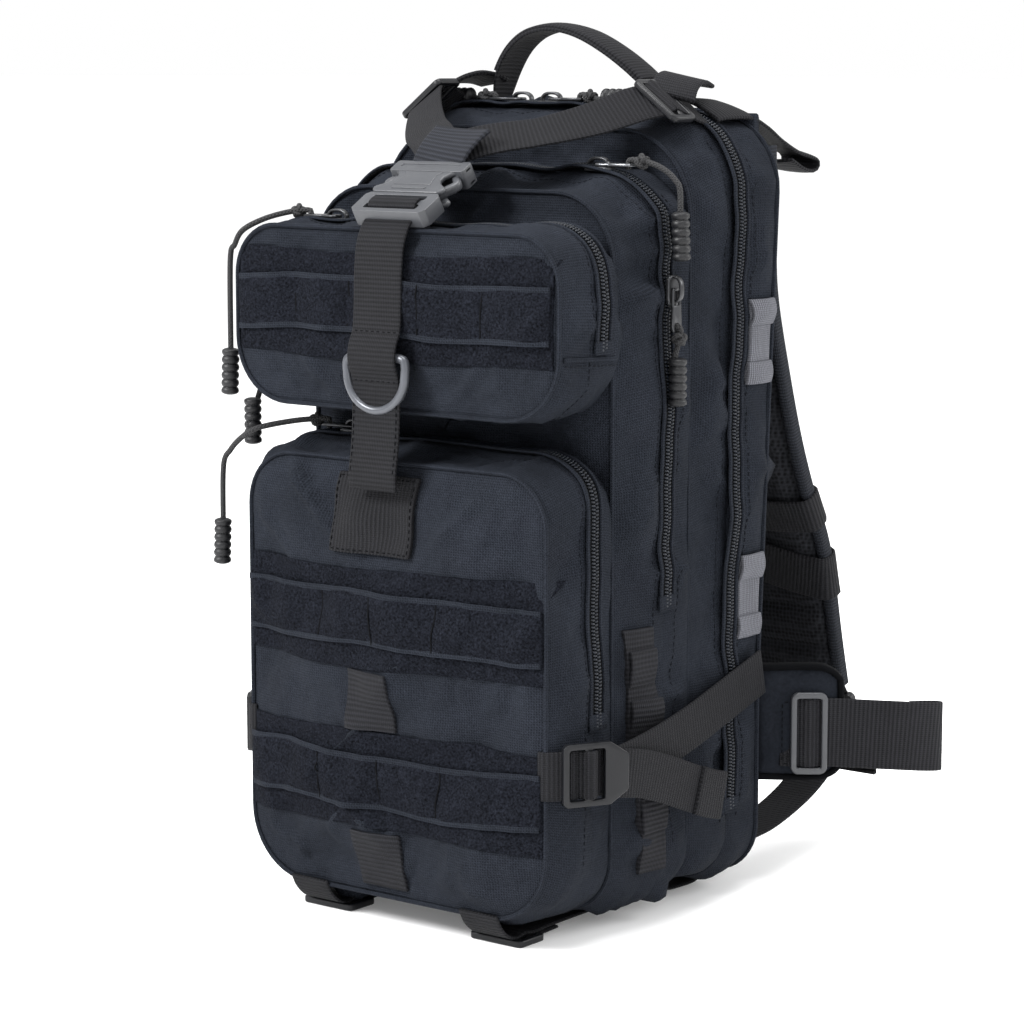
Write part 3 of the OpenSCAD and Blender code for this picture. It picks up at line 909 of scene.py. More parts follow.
def front_y(x, z):
    """Where the bag's front surface lies at (x, z)."""
    return on_surface([x, -100, z], [0, -1, 0], 0, 60, FRONT_TREES)[1]


def slab(name, outer, inner, shape, uv_at, material, bevel, wall=0.0, over=False):
    """A panel between two grids of points of one shape (rows, columns). uv_at gives a grid place its UV, wall
    is the rim's depth in UVs, and over turns all faces round."""
    rows, columns = shape
    faces, corners = grid_faces(rows, columns)
    uvs = [uv_at(i, j) for i, j in corners]
    offset = rows * columns
    back, back_uvs = turned_over(faces, uvs)
    back = [tuple(offset + k for k in face) for face in back]
    rim = ([(0, j) for j in range(columns)] + [(i, columns - 1) for i in range(1, rows)]
           + [(rows - 1, j) for j in range(columns - 2, -1, -1)] + [(i, 0) for i in range(rows - 2, 0, -1)])
    walls, wall_uvs = [], []
    for here, there in zip(rim, rim[1:] + rim[:1]):
        a, b = (i * columns + j for i, j in (here, there))
        walls.append((a, a + offset, b + offset, b))
        (u, v), (next_u, next_v) = uv_at(*here), uv_at(*there)
        wall_uvs += [(u, v), (u, v + wall), (next_u, next_v + wall), (next_u, next_v)]
    faces, uvs = faces + back + walls, uvs + back_uvs + wall_uvs
    if over:
        faces, uvs = turned_over(faces, uvs)
    obj = make_mesh(name, np.vstack([outer, inner]), faces, material, uvs)
    round_edges(obj, bevel, 2, 50)
    return obj


def drape(name, xs, zs, lift, thickness, material, bow=None):
    """A sewn panel laid on the pocket front: xs across, zs up, lift(x, z) off the cloth, bow(x) up."""
    base = np.array([[front_y(x, z) for x in xs] for z in zs])
    for _ in range(3):
        calm(base, 1)
        calm(base.T, 1)
    outer, inner = [], []
    for i, z in enumerate(zs):
        for j, x in enumerate(xs):
            up = lift(x, z) if callable(lift) else lift
            shift = 0 if bow is None else bow(x)
            outer.append((x, base[i, j] - up - thickness, z + shift))
            inner.append((x, base[i, j] - up + 0.6, z + shift))

    def uv_at(i, j):
        return xs[j] * MM, zs[i] * MM

    return slab(name, outer, inner, base.shape, uv_at, material, min(0.5, thickness * 0.4), wall=MM)


def loop_row(tag, z, half, span, tacks):
    """A soft loop field and the strip across it, hemmed above and below and tacked down into cells."""
    sag = np.random.default_rng(int(z)).uniform(-0.5, 0.5, 4) * 6

    def field_bow(x):
        return 0.9 * math.sin(x / 31 + sag[0]) + 0.5 * math.sin(x / 13 + sag[1])

    def strip_bow(x):
        return 1.1 * math.sin(x / 27 + sag[2]) + 0.4 * math.sin(x / 11 + sag[3])

    def puff(x, at):
        away = min(abs(x - stop) for stop in (-half, *tacks, half))
        lifted = 1 - math.exp(-away / 7)
        arch = 1 - abs((at - z) / 14) ** 2.5
        return 1.3 + 2.2 * lifted * max(arch, 0) + 0.5 * lifted

    field_z = np.linspace(z - span, z + span, 26)
    panel = drape(f"loop_field_{tag}", np.linspace(-half, half, 66), field_z, 0.0, 1.3, LOOP, field_bow)
    strip_x = np.linspace(-half + 0.6, half - 0.6, 110)
    strip = drape(f"loop_strip_{tag}", strip_x, np.linspace(z - 13, z + 13, 16), puff, 1.5, LOOP, strip_bow)
    for edge, end in ((-1, "low"), (1, "up")):
        at = z + edge * 12.6
        line = np.array([
            (x, front_y(x, at) - puff(x, at) - 1.25, at + strip_bow(x) + edge * 0.35)
            for x in np.linspace(-half + 1, half - 1, 150)
        ])
        calm(line, 6)
        place_on(sweep(f"loop_hem_{tag}_{end}", line, [0, 0, 1], bar_section(3.0, 0.9), CANVAS), "pack")
    for k, x in enumerate(tacks):
        line = [(x, front_y(x, at) - 3.0, at) for at in np.linspace(z - 12.5, z + 12.5, 10)]
        place_on(sweep(f"cell_tack_{tag}_{k}", line, [1, 0, 0], bar_section(0.8, 0.5), DARK_THREAD), "pack")
    return panel, strip


loop_parts, strip_parts = zip(
    loop_row("low", 80.0, 97.0, 25.5, (-38, 0, 38)),
    loop_row("mid", 165.0, 97.5, 25.5, (-38, 0, 38)),
    loop_row("top", 323.5, 103.0, 27.0, (-64, -26, 24, 62)),
)
place_on(join(loop_parts, "loop_fields_pile"), "pack", ["loop_fields"])
place_on(join(strip_parts, "loop_strips_pile"), "pack", ["loop_strips"])

# ---------------------------------------------------------------- webbing on the front


def strap(name, points, width, side, thickness=1.7, step=2.5, crown=0.0):
    """A length of webbing along a smooth path; side is its width's direction, or a list of them to blend."""
    path = smooth_path(points, step)
    if np.ndim(side) == 2:
        side = np.asarray(side, float)
        key = np.linspace(0, 1, len(side))
        side = np.array([reading(side, key, at) for at in np.linspace(0, 1, len(path))])
    return sweep(name, path, side, flat_section(width, thickness, 9, crown), WEBBING)


def box_stitch(name, corners, normal, lift, body):
    """Stitches round a four-cornered box."""
    corners = [np.asarray(p, float) + unit(normal) * lift for p in corners]
    for k, (a, b) in enumerate(zip(corners, corners[1:] + corners[:1])):
        stitches(f"{name}_{k}", np.linspace(a, b, 12), unit(normal), DARK_THREAD, body)


middle_x = np.linspace(-20, 10, 12)
sewn_down = [
    drape("square_patch", np.linspace(-32, 20.5, 22), np.linspace(198, 238, 18), 1.2, 1.9, WEBBING),
    drape("webbing_between_fields", middle_x, np.linspace(107, 138, 12), 0.4, 1.6, PATCH_WEB),
    drape("webbing_below_fields", middle_x, np.linspace(22, 53, 12), 0.4, 1.6, PATCH_WEB),
]
place_on(join(sewn_down, "front_webbing_sewn"), "pack", ["front_webbing"])
for x, tag in ((-30.5, "left"), (19.0, "right")):
    line = [(x, front_y(x, z) - 3.2, z) for z in np.linspace(199, 237, 12)]
    stitches(f"patch_stitch_{tag}", line, [0, -1, 0], DARK_THREAD)
for z, tag in ((199.5, "low"), (236.5, "high")):
    line = [(x, front_y(x, z) - 3.2, z) for x in np.linspace(-31, 19.5, 16)]
    stitches(f"patch_stitch_{tag}", line, [0, -1, 0], DARK_THREAD)

FRONT_LINE = [
    (0, -114.2, 232), (0, -114.6, 240), (0, -112.6, 252), (0, -111.4, 265), (0, -111.0, 280),
    (0, -111.6, 288), (0, -114.3, 295), (0, -114.9, 300), (0, -113.6, 306), (0, -110.6, 313),
    (0, -109.6, 326), (0, -109.2, 340), (0, -107.6, 354), (0, -104.6, 362), (0, -101.2, 366.5),
    (0, -97.0, 369.2),
]
front_strap = strap("front_strap_web", FRONT_LINE, 31, [1, 0, 0], 1.9)
place_on(front_strap, "pack", ["front_strap"],
         blend=("pack", "buckle_plug", row([0, -109, 322]), row([0, -103, 365])))
for x, tag in ((-14, "left"), (14, "right")):
    line = smooth_path([(x, y - 1.0, z) for _, y, z in FRONT_LINE[1:5]], 3)
    stitches(f"strap_stitch_{tag}", line, [0, -1, 0], DARK_THREAD)
for z, y in ((287, -112.2), (312, -111.9)):
    line = [(x, y, z) for x in np.linspace(-14.5, 14.5, 10)]
    stitches(f"tunnel_stitch_{z}", line, [0, -1, 0.1], DARK_THREAD)

# D-ring: a straight bar inside the strap's tunnel and a bow below it.
RING_Y = -111.2
RING_HALF = 19.0
ring_path = [(x, RING_Y, 299) for x in (-RING_HALF + 3, 0, RING_HALF - 3)]
ring_path += [(RING_HALF, RING_Y, 296.5), (RING_HALF, RING_Y, 291)]
ring_path += [(RING_HALF * math.cos(a), RING_Y, 291 - RING_HALF * math.sin(a))
              for a in np.radians(np.arange(15, 166, 15))]
ring_path += [(-RING_HALF, RING_Y, 291), (-RING_HALF, RING_Y, 296.5)]
ring_curve = smooth_path(ring_path + [ring_path[0]], 1.2)[:-1]
ring = sweep("d_ring_wire", ring_curve, [0, 1, 0], round_section(2.3, 14), RING, closed_path=True)
place_on(ring, "ring", ["d_ring"])

# ---------------------------------------------------------------- side-release buckle

BUCKLE = move(0, -101, 368) @ turn("X", 30)


def half_outline(points):
    """A symmetric outline from its right half, listed from the front to the back."""
    return points + [(-x, y) for x, y in points[::-1]]


socket_outline = half_outline([
    (20.5, 17.8), (23.2, 20.2), (23.2, 22.5), (17.8, 26.2), (15.2, 29.5), (15.2, 33), (18.0, 36.5),
    (23.6, 38.4), (24.0, 40), (24.0, 44.6), (22.6, 46.3),
])
socket = [
    plate("socket_top", socket_outline, 2.3, 5.0, PLASTIC, 0.9),
    plate("socket_low", socket_outline, -5.0, -2.3, PLASTIC, 0.9),
    plate("socket_back", rounded_rect(48, 9.4, 1.6, y=41.6), -5.2, 5.4, PLASTIC, 1.2,
          holes=[rounded_rect(38, 2.8, 1.0, y=42.2)]),
    plate("socket_rib", rounded_rect(22, 2.2, 0.8, y=21.6), 4.6, 5.5, PLASTIC, 0.35),
    plate("socket_face", half_outline([(12, 24.5), (10, 33), (12.5, 36.6)]), 4.6, 5.35, PLASTIC, 0.35),
]
socket = transform(join(socket, "buckle_socket"), BUCKLE)
place_on(socket, "pack", ["buckle_female"])

plug_outline = half_outline([(21.5, -0.4), (24.2, 2.4), (24.2, 15), (22.0, 17.4)])
plug_parts = [
    plate("plug_frame", plug_outline, -4.4, 4.6, PLASTIC, 1.5,
          holes=[rounded_rect(34.5, 4.4, 1.2, y=5.0), rounded_rect(34.5, 3.8, 1.2, y=13.0)]),
    plate("plug_guide", rounded_rect(5.4, 20, 1.6, y=26), -2.0, 2.0, PLASTIC, 0.8),
]
PRONG = [(12, 15, 0), (14.5, 21, 0), (18.6, 26, 0), (21.6, 30, 0), (21.9, 33, 0), (18.4, 37, 0)]
for side in (-1, 1):
    prong = smooth_path(mirrored(PRONG, side), 1.2)
    plug_parts.append(sweep("plug_prong", prong, [0, 0, 1], bar_section(5.0, 4.2), PLASTIC))
plug = transform(join(plug_parts, "buckle_plug_body"), BUCKLE)
place_on(plug, "buckle_plug", ["buckle_male"])
WRAP = [
    (0, 2.2, -2.6), (0, 3.6, 1.6), (0, 6.4, 4.9), (0, 9.0, 5.4), (0, 11.4, 4.9), (0, 13.8, 1.4),
    (0, 14.6, -2.6),
]
wrap = sweep("plug_webbing", smooth_path(WRAP, 1.2), [1, 0, 0], flat_section(31, 1.7), WEBBING)
transform(wrap, BUCKLE)
place_on(wrap, "buckle_plug")

# ---------------------------------------------------------------- yoke and its slides

patch_path = smooth_path([
    (0.5, -64.4, 390.6), (1.6, -62.6, 396.2), (2.8, -58.8, 402.2), (4.0, -53.4, 407.4), (5.0, -47.0, 411.8),
], 1.5)
yoke_parts = [
    sweep("yoke_patch", patch_path, [1, 0, 0.05], flat_section(34, 2.4, 15, -0.8), YOKE_WEB,
          scale=np.linspace(0.95, 1.18, len(patch_path))),
]
YOKE_LINE = [
    (3, -55, 400.4), (12, -48.6, 404.6), (23, -39, 407.6), (38, -25, 410.4), (56, -5, 416.6),
    (70, 13, 424.0), (75.5, 22, 426.3), (77, 28, 429.0), (78.5, 34, 426.6), (80, 42, 423.0),
    (81, 52, 420.0),
]
YOKE_SIDES = [(0.62, -0.48, -0.58), (0.66, -0.5, -0.5), (0.76, -0.2, -0.6), (0.8, 0, -0.6)]
YOKE_TAIL = [(78.5, 34, 428.2), (75, 42, 434.0), (72, 52, 437.4), (69, 62, 437.0), (67, 70, 434.6)]
TAIL_SIDES = [(0.84, 0.1, -0.5), (0.95, 0.1, -0.25), (0.98, 0.1, -0.1)]
for side in (-1, 1):
    yoke_parts += [
        strap(f"yoke_strap_{side}", mirrored(YOKE_LINE, side), 24.5, mirrored(YOKE_SIDES, side), 1.8),
        strap(f"yoke_tail_{side}", mirrored(YOKE_TAIL, side), 24.5, mirrored(TAIL_SIDES, side), 2.6),
    ]
place_on(join(yoke_parts, "yoke_webbing"), "pack", ["yoke"])


def slide_frame(name, length, width, thick, bars, rim=3.4, corner=3.4, material=SLIDE_PLASTIC):
    """A flat moulded slide: an outer frame with bars across its width, rounded all over."""
    edges = [-length / 2 + rim] + [b for x in bars for b in (x - 1.6, x + 1.6)] + [length / 2 - rim]
    slots = [
        rounded_rect(b - a, width - 2 * rim, min(1.0, (b - a) * 0.3), x=(a + b) / 2)
        for a, b in zip(edges[::2], edges[1::2])
    ]
    return plate(name, rounded_rect(length, width, corner, 7), 0, thick, material, 0.9, holes=slots)


slides = []
for side in (-1, 1):
    lean = move(side * 77, 28, 424.5) @ turn("Y", side * 37) @ turn("Z", 90)
    slides.append(transform(slide_frame("yoke_slide", 20, 33, 3.6, [0]), lean))
place_on(join(slides, "yoke_slide_pair"), "pack", ["yoke_slides"])

# ---------------------------------------------------------------- carry handle

handle_line = [
    (56, 68, 418.2), (53, 68.2, 423), (44.5, 68.5, 431), (32, 68.8, 441), (17, 69, 450.5), (0.6, 69, 458.5),
    (-13.9, 69, 462.4), (-26.6, 69, 462.8), (-39, 69, 459.4), (-49, 68.8, 451.6), (-56, 68.6, 440.4),
    (-59.6, 68.3, 428.4), (-60.2, 68, 421.6), (-60, 68, 418.2),
]
handle_path = smooth_path(handle_line, 2.0)
t = np.linspace(-1, 1, len(handle_path))
handle_scale = 1.0 - 0.42 * np.exp(-((1 - np.abs(t)) / 0.2) ** 2)
outer_web = sweep("handle_outer", handle_path, [0, 1, 0], flat_section(23, 2.0, 9, 1.6), WEBBING,
                  scale=handle_scale)
inner_path = handle_path[len(handle_path) // 7: -len(handle_path) // 7]
inner_path = inner_path + unit(np.cross([0, 1, 0], tangents(inner_path))) * 1.7
inner_web = sweep("handle_inner", inner_path, [0, 1, 0], flat_section(21.5, 2.0, 9, 1.2), WEBBING)
place_on(join([outer_web, inner_web], "carry_handle_web"), "handle", ["carry_handle"])

# ---------------------------------------------------------------- load lifters

LIFTER = [
    (82, 56, 420.8), (83, 66, 421.4), (84, 84, 420.2), (84.5, 98, 414.6), (85, 112, 406.6),
    (85, 128, 399.6), (85, 140, 396.6), (85, 146, 394.2), (85, 146.5, 390.6), (85, 142, 388.4),
    (85, 132, 389.6), (85, 120, 394.0),
]
LIFTER_SIDES = [(0.9, 0, -0.42), (0.96, 0, -0.25), (1, 0, 0)]
lifters = [
    strap(f"lifter_{side}", mirrored(LIFTER, side), 25, mirrored(LIFTER_SIDES, side), 1.9, crown=1.0)
    for side in (-1, 1)
]
place_on(join(lifters, "load_lifter_webs"), "pack", ["load_lifters"])

# ---------------------------------------------------------------- compression straps and ladder locks

BAND = [
    (113.5, -72, 94.4), (116.2, -62, 94.8), (116.5, -50, 96.0), (115, -22, 99.6), (113, 8, 105.0),
    (111, 40, 112.6), (109, 66, 118.6), (107.8, 80, 121.8),
]
BAND_TAIL = [
    (116.5, -68, 94.0), (118.8, -58, 92.6), (119.6, -44, 89.6), (119.4, -24, 83.0), (118.8, -4, 75.4),
    (118.0, 14, 69.0), (117.4, 26, 65.6),
]
BAND_HEM = [(119.9, 3.5, 72.6), (119.3, 15, 68.6), (118.6, 27.4, 65.2)]
LOCK_OUTLINE = [
    (-18, -14), (-16, -16), (8, -16), (17.6, -9.5), (18, -8), (18, 8), (17.6, 9.5), (8, 16), (-16, 16),
    (-18, 14),
]
THREADED = [
    (-14, 0, 1.5), (-9.5, 0, -0.6), (-4.6, 0, 4.2), (-3.4, 0, 5.2), (-1.2, 0, 4.4), (2.6, 0, -0.8),
    (8, 0, -1.8), (16, 0, -1.4),
]
ANCHOR = [
    (94.5, -99.5, 95), (98.2, -99.6, 95), (101.0, -97.4, 95), (103.4, -94.0, 95), (106.6, -88.6, 95),
    (107.8, -85.6, 95), (106.4, -84.4, 95), (103.2, -87.4, 95), (101.6, -90.2, 95),
]
for side, tag in ((-1, "left"), (1, "right")):
    bands = [
        strap(f"compression_{tag}_band", mirrored(BAND, side), 25, [0, -0.2, 1], 1.8),
        strap(f"compression_{tag}_tail", mirrored(BAND_TAIL, side), 25, [0, 0.36, 0.93], 1.8),
        strap(f"compression_{tag}_hem", mirrored(BAND_HEM, side), 25.6, [0, 0.36, 0.93], 2.6),
    ]
    place_on(join(bands, f"compression_{tag}_web"), "pack", [f"compression_strap_{tag}"],
             blend=("pack", f"lock_{tag}", row([side * 116, 10, 95]), row([side * 114, -68, 95])))
    lock_matrix = flip(side) @ move(103.5, -93, 95) @ turn("Z", 62) @ turn("X", 90) @ move(18, 0, 0)
    lock = plate(f"ladder_lock_{tag}_body", LOCK_OUTLINE, 0, 3.6, SLIDE_PLASTIC, 1.0,
                 holes=[rounded_rect(9.0, 26, 1.4, x=-10.2), rounded_rect(7.4, 26, 1.4, x=1.2)])
    place_on(transform(lock, lock_matrix), f"lock_{tag}", [f"ladder_lock_{tag}"])
    line = smooth_path(THREADED, 1.2)
    threaded = sweep(f"ladder_lock_{tag}_web", line, [0, 1, 0], flat_section(24.6, 1.7), WEBBING)
    place_on(transform(threaded, lock_matrix), f"lock_{tag}")

anchors = [strap(f"anchor_{side}", mirrored(ANCHOR, side), 25, [0, 0, 1], step=1.5) for side in (-1, 1)]
place_on(join(anchors, "lock_anchor_webs"), "pack", ["lock_anchors"])

# ---------------------------------------------------------------- side webbing and soft tabs


def side_panel(name, side, corners, thickness, material, trees, across, up, lift=0.3, bow=0.0):
    """A sewn panel on the bag's side; corners are (y, z): low front, low back, top back and top front."""
    a, b, c, d = [np.asarray(p, float) for p in corners]
    outer, inner, places = [], [], []
    for t in np.linspace(0, 1, up):
        for s in np.linspace(0, 1, across):
            y, z = (a * (1 - s) + b * s) * (1 - t) + (d * (1 - s) + c * s) * t
            x = abs(on_surface([side * 100, y, z], [side, 0, 0], 0, 40, trees)[0])
            rise = lift + bow * math.sin(math.pi * t)
            outer.append((side * (x + rise + thickness), y, z))
            inner.append((side * (x + rise - 0.8), y, z))
            places.append((y * MM, z * MM))
    net = np.array(outer).reshape(up, across, 3)
    for _ in range(4):
        calm(net[:, :, 0], 1)
        calm(net[:, :, 0].T, 1)

    def uv_at(i, j):
        return places[i * across + j]

    return slab(name, net.reshape(-1, 3), inner, (up, across), uv_at, material, min(0.6, thickness * 0.4),
                over=side < 0)


side_pieces = []
for side, tag in ((-1, "left"), (1, "right")):
    chain = [(-23, 30), (-3, 30), (-18, 160), (-38, 160)]
    side_pieces.append(side_panel(f"daisy_{tag}", side, chain, 1.6, PATCH_WEB, MIDDLE_TREES, 10, 30))
    for k, z in enumerate((52, 78, 104, 130)):
        lean = (160 - z) / 130 * 15
        loop = [(-38 + lean, z), (-18 + lean, z), (-19 + lean, z + 19), (-39 + lean, z + 19)]
        side_pieces.append(side_panel(f"daisy_loop_{tag}_{k}", side, loop, 1.4, PATCH_WEB, MIDDLE_TREES, 8, 8,
                                      1.6, 2.2))
    for z0, z1 in ((279, 322), (143, 186)):
        patch = [(61, z0), (80, z0), (80, z1), (61, z1)]
        side_pieces.append(side_panel(f"tab_{tag}_{z0}", side, patch, 1.6, TAB, MAIN_TREES, 10, 16))
        for low, high, rise in ((z0 - 1, z0 + 11, 1.5), (z1 - 13, z1 + 1, 2.2)):
            band = [(60, low), (81, low), (81, high), (60, high)]
            side_pieces.append(side_panel(f"tab_band_{tag}_{low}", side, band, 1.3, TAB, MAIN_TREES, 10, 8,
                                          1.6, rise))
place_on(join(side_pieces, "side_webbing_sewn"), "pack", ["side_webbing"])

# ---------------------------------------------------------------- padded pieces


def inflate(obj, cap, seed, voxel=5.0, material=AIR_MESH):
    """Puffs a closed pad by cloth simulation, with each point held within cap millimetres of where it was."""
    remesh = obj.modifiers.new("even", "REMESH")
    remesh.mode = "VOXEL"
    remesh.voxel_size = voxel * MM
    remesh.use_smooth_shade = True
    bake_modifiers(obj)
    start = vertex_rows(obj)
    moved = start
    cloth = obj.modifiers.new("cloth", "CLOTH")
    cloth.settings.use_pressure = True
    cloth.settings.uniform_pressure_force = 4.0
    cloth.settings.effector_weights.gravity = 0
    cloth.settings.mass = 0.2
    cloth.settings.tension_stiffness = 12
    cloth.settings.compression_stiffness = 12
    cloth.settings.bending_stiffness = 0.4
    cloth.settings.shrink_min = -0.02
    cloth.point_cache.frame_start = 1
    cloth.point_cache.frame_end = 20
    for number in range(1, 21):
        bpy.context.scene.frame_set(number)
    after = vertex_rows(obj.evaluated_get(bpy.context.evaluated_depsgraph_get()))
    obj.modifiers.clear()
    bpy.context.scene.frame_set(1)
    step = after - start
    size = np.linalg.norm(step, axis=1, keepdims=True)
    moved = start + step * np.minimum(1, cap * MM / np.maximum(size, 1e-9))
    lumps = 0.5 * field(moved / MM, 34, seed) + 0.3 * field(moved / MM, 15, seed + 1)
    set_vertices(obj, moved + vertex_rows(obj, "normal") * (lumps * MM)[:, None])
    finer = obj.modifiers.new("finer", "SUBSURF")
    finer.levels = finer.render_levels = 1
    bake_modifiers(obj)
    obj.data.polygons.foreach_set("use_smooth", np.ones(len(obj.data.polygons), bool))
    obj.data.materials.clear()
    obj.data.materials.append(material)
    return obj


def quilt(pad, levels, depth):
    """Presses stitched channels across a strap at the given heights, on both faces."""
    places = vertex_rows(pad)
    pressed = sum(np.exp(-((places[:, 2] / MM - level) / 3.0) ** 2) for level in levels)
    set_vertices(pad, places - vertex_rows(pad, "normal") * (pressed * depth * MM)[:, None])


SHOULDER = [
    (66, 98, 406), (66, 98.5, 384), (66, 99, 350), (66, 102, 319), (66, 115, 275), (66, 127, 241),
    (66, 140, 212), (66, 158, 177), (66, 171.5, 124), (66, 179.5, 94),
]
# Round the pad from its outer face: how far across it and how far off its middle.
ROUND_PAD = [
    (0, 10.4), (13, 10.2), (24, 9.4), (32.4, 6.4), (34.4, 0), (32.4, -6.6), (24, -8.4), (13, -9.4),
    (0, -9.6), (-13, -9.4), (-24, -8.4), (-32.4, -6.6), (-34.4, 0), (-32.4, 6.4), (-24, 9.4), (-13, 10.2),
    (0, 11.6), (10, 12.0),
]
ADJUSTER_WEB = [(82, 172, 113), (82, 181, 101), (82, 187.6, 92.5), (82, 191.5, 86)]
LOW_WEB = [
    (82, 82.6, 26), (82, 96, 25.4), (82, 120, 28.2), (82, 152, 37.6), (82, 176, 50), (82, 190, 61),
    (82, 195, 68), (82, 197.6, 73),
]
HARNESS_TAIL = [
    (82, 198.6, 73.6), (82, 200.4, 66.4), (82, 206, 59.4), (82, 213, 52), (82, 219.6, 43.6),
    (82, 221.4, 38.6), (82, 218.6, 39.0),
]
for side, tag in ((-1, "left"), (1, "right")):
    harness = f"harness_{tag}"
    path = smooth_path(mirrored(SHOULDER, side), 4)
    pad = sweep(f"shoulder_{tag}_pad", path, [1, 0, 0], flat_section(61.5, 10.5, 15, 0.8), AIR_MESH)
    inflate(pad, 3.0, 60 + side)
    quilt(pad, (300, 266, 232, 143, 120), 1.7)
    place_on(pad, harness, [f"shoulder_strap_{tag}"])
    tangent = tangents(path)
    outer_n = unit(np.cross(tangent, [1, 0, 0]))
    if outer_n[len(path) // 2][1] < 0:
        outer_n = -outer_n
    for edge in (-1, 1):
        place, look = ("out", BINDING) if edge == side else ("in", DARK_THREAD)
        rim = path[1:-1] + np.array([edge * 30.6, 0, 0])
        section = bar_section(6.4, 9.4, 0.45)
        place_on(sweep(f"shoulder_{tag}_binding_{place}", rim, [1, 0, 0], section, look), harness)
    spine = path[3:-1] + outer_n[3:-1] * 7.8
    place_on(sweep(f"shoulder_{tag}_spine", spine, [1, 0, 0], flat_section(25, 1.7), WEBBING), harness)
    for k, (height, wide, slant) in enumerate(((201, 21, 0.0), (171, 25, 0.22))):
        at = int(np.argmin(np.abs(path[:, 2] - height)))
        centre, n, t = path[at], outer_n[at], tangent[at]
        around = [centre + np.array([x, 0, 0]) + n * lift + t * x * side * slant for x, lift in ROUND_PAD]
        place_on(strap(f"shoulder_{tag}_band_{k}", around, wide, t, 1.6), harness)
    frame_matrix = move(side * 82, 193.5, 73.5) @ turn("X", -67) @ turn("Z", 90)
    adjuster = slide_frame(f"strap_adjuster_{tag}_body", 36, 32, 4, [-4, 6], 3.8, 3.0)
    place_on(transform(adjuster, frame_matrix), harness, [f"strap_adjuster_{tag}"])
    place_on(strap(f"adjuster_{tag}_anchor", mirrored(ADJUSTER_WEB, side), 25, [1, 0, 0]), harness)
    low = strap(f"shoulder_webbing_{tag}_web", mirrored(LOW_WEB, side), 25, [1, 0, 0])
    place_on(low, "pack", [f"shoulder_webbing_{tag}"],
             blend=("pack", harness, row([side * 82, 96, 26]), row([side * 82, 188, 60])))
    place_on(strap(f"shoulder_tail_{tag}", mirrored(HARNESS_TAIL, side), 25, [1, 0, 0]), harness)

# ---------------------------------------------------------------- hip wings, waist webbing and slides

WING_HALF = 3.4
WING_SHAPE = [
    (-10, 61), (20, 60.5), (29, 62), (34.5, 66), (36, 72), (36, 110), (34.5, 116), (29, 120), (20, 121.5),
    (-10, 121),
]
# The waist webbing along the wing, out into the air and back under itself, from the wing's front face.
WAIST = [
    (3, 0.8, 86), (12, -0.4, 86), (18.5, -3.4, 86), (26, -1.0, 86), (36, -0.6, 85.8), (52, -1.6, 85.2),
    (68, -1.4, 84.4), (80, 0.8, 83.4), (88, 4.6, 82.6), (91.4, 9.2, 82.0), (89.4, 13.0, 81.8),
    (83, 13.4, 81.8), (74, 11.0, 82.0),
]
face = -WING_HALF - 1.6
STITCH_BOX = [(x, face - 1.9, z) for x, z in ((4, 69), (12, 69), (12, 103), (4, 103))]
for side, tag in ((-1, "left"), (1, "right")):
    body = f"wing_{tag}"
    wing_matrix = flip(side) @ move(104, 98, 0) @ turn("Z", 38)
    wing = plate(f"hip_wing_{tag}_pad", WING_SHAPE, -WING_HALF, WING_HALF, CANVAS, 2.4)
    transform(wing, wing_matrix @ turn("X", 90))
    inflate(wing, 2.2, 70 + side, 3.2, CANVAS)
    place_on(wing, body, [f"hip_wing_{tag}"])
    rim = smooth_path([(x, 0, z) for x, z in WING_SHAPE], 2)
    binding = sweep(f"wing_{tag}_binding", rim, [0, 1, 0], bar_section(8.8, 3.4, 0.45), DARK_THREAD)
    place_on(transform(binding, wing_matrix), body)
    waist = smooth_path([(x, face + out, z) for x, out, z in WAIST], 2)
    # The belt takes the webbing copy painted lighter against the shade it sits in.
    belt = sweep(f"waist_webbing_{tag}_web", waist, [0, 0, 1], flat_section(38, 1.9, 12), WAIST_WEB_PAINTED_LIGHTER)
    place_on(transform(belt, wing_matrix), body, [f"waist_webbing_{tag}"])
    slide_matrix = wing_matrix @ move(18.5, -6.2, 86) @ turn("X", 90)
    slide = slide_frame(f"waist_slide_{tag}_body", 20, 45, 3.6, [], 3.4, 4.4, PLASTIC)
    place_on(transform(slide, slide_matrix), body, [f"waist_slide_{tag}"])
    corners = [(wing_matrix @ np.array([*c, 1]))[:3] for c in STITCH_BOX]
    normal = (wing_matrix @ np.array([0, -1, 0, 0]))[:3]
    box_stitch(f"waist_stitch_{tag}_0", corners, normal, 0.2, body)

# ---------------------------------------------------------------- base straps, slides and the back pad

BASE_STRAP = [
    (57, -101, 19), (57, -97, 12), (57, -91, 6.6), (57, -84, 4.2), (57, -77, 5.4), (57, -70, 4.4),
    (57, -50, 5.2), (57, 0, 5.4), (57, 40, 4.6), (57, 50, 1.9), (57, 62, 1.1), (57, 74, 1.3),
    (57, 80, 4.0), (57, 84, 12),
]
BASE_TAIL = [(57, -70, 2.2), (57, -62, 2.4), (57, -50, 2.8)]
base_parts, base_slides = [], []
for side in (-1, 1):
    base_parts += [
        strap(f"base_strap_{side}", mirrored(BASE_STRAP, side), 25, [1, 0, 0], step=2),
        strap(f"base_tail_{side}", mirrored(BASE_TAIL, side), 25, [1, 0, 0], 1.6),
    ]
    slide = slide_frame("base_slide", 21, 34, 3.7, [0], 3.4, 3.0)
    base_slides.append(transform(slide, move(side * 57, -77, 0.1) @ turn("Z", 90)))
place_on(join(base_parts, "base_strap_webs"), "pack", ["bottom_straps"])
place_on(join(base_slides, "base_slide_pair"), "pack", ["bottom_slides"])

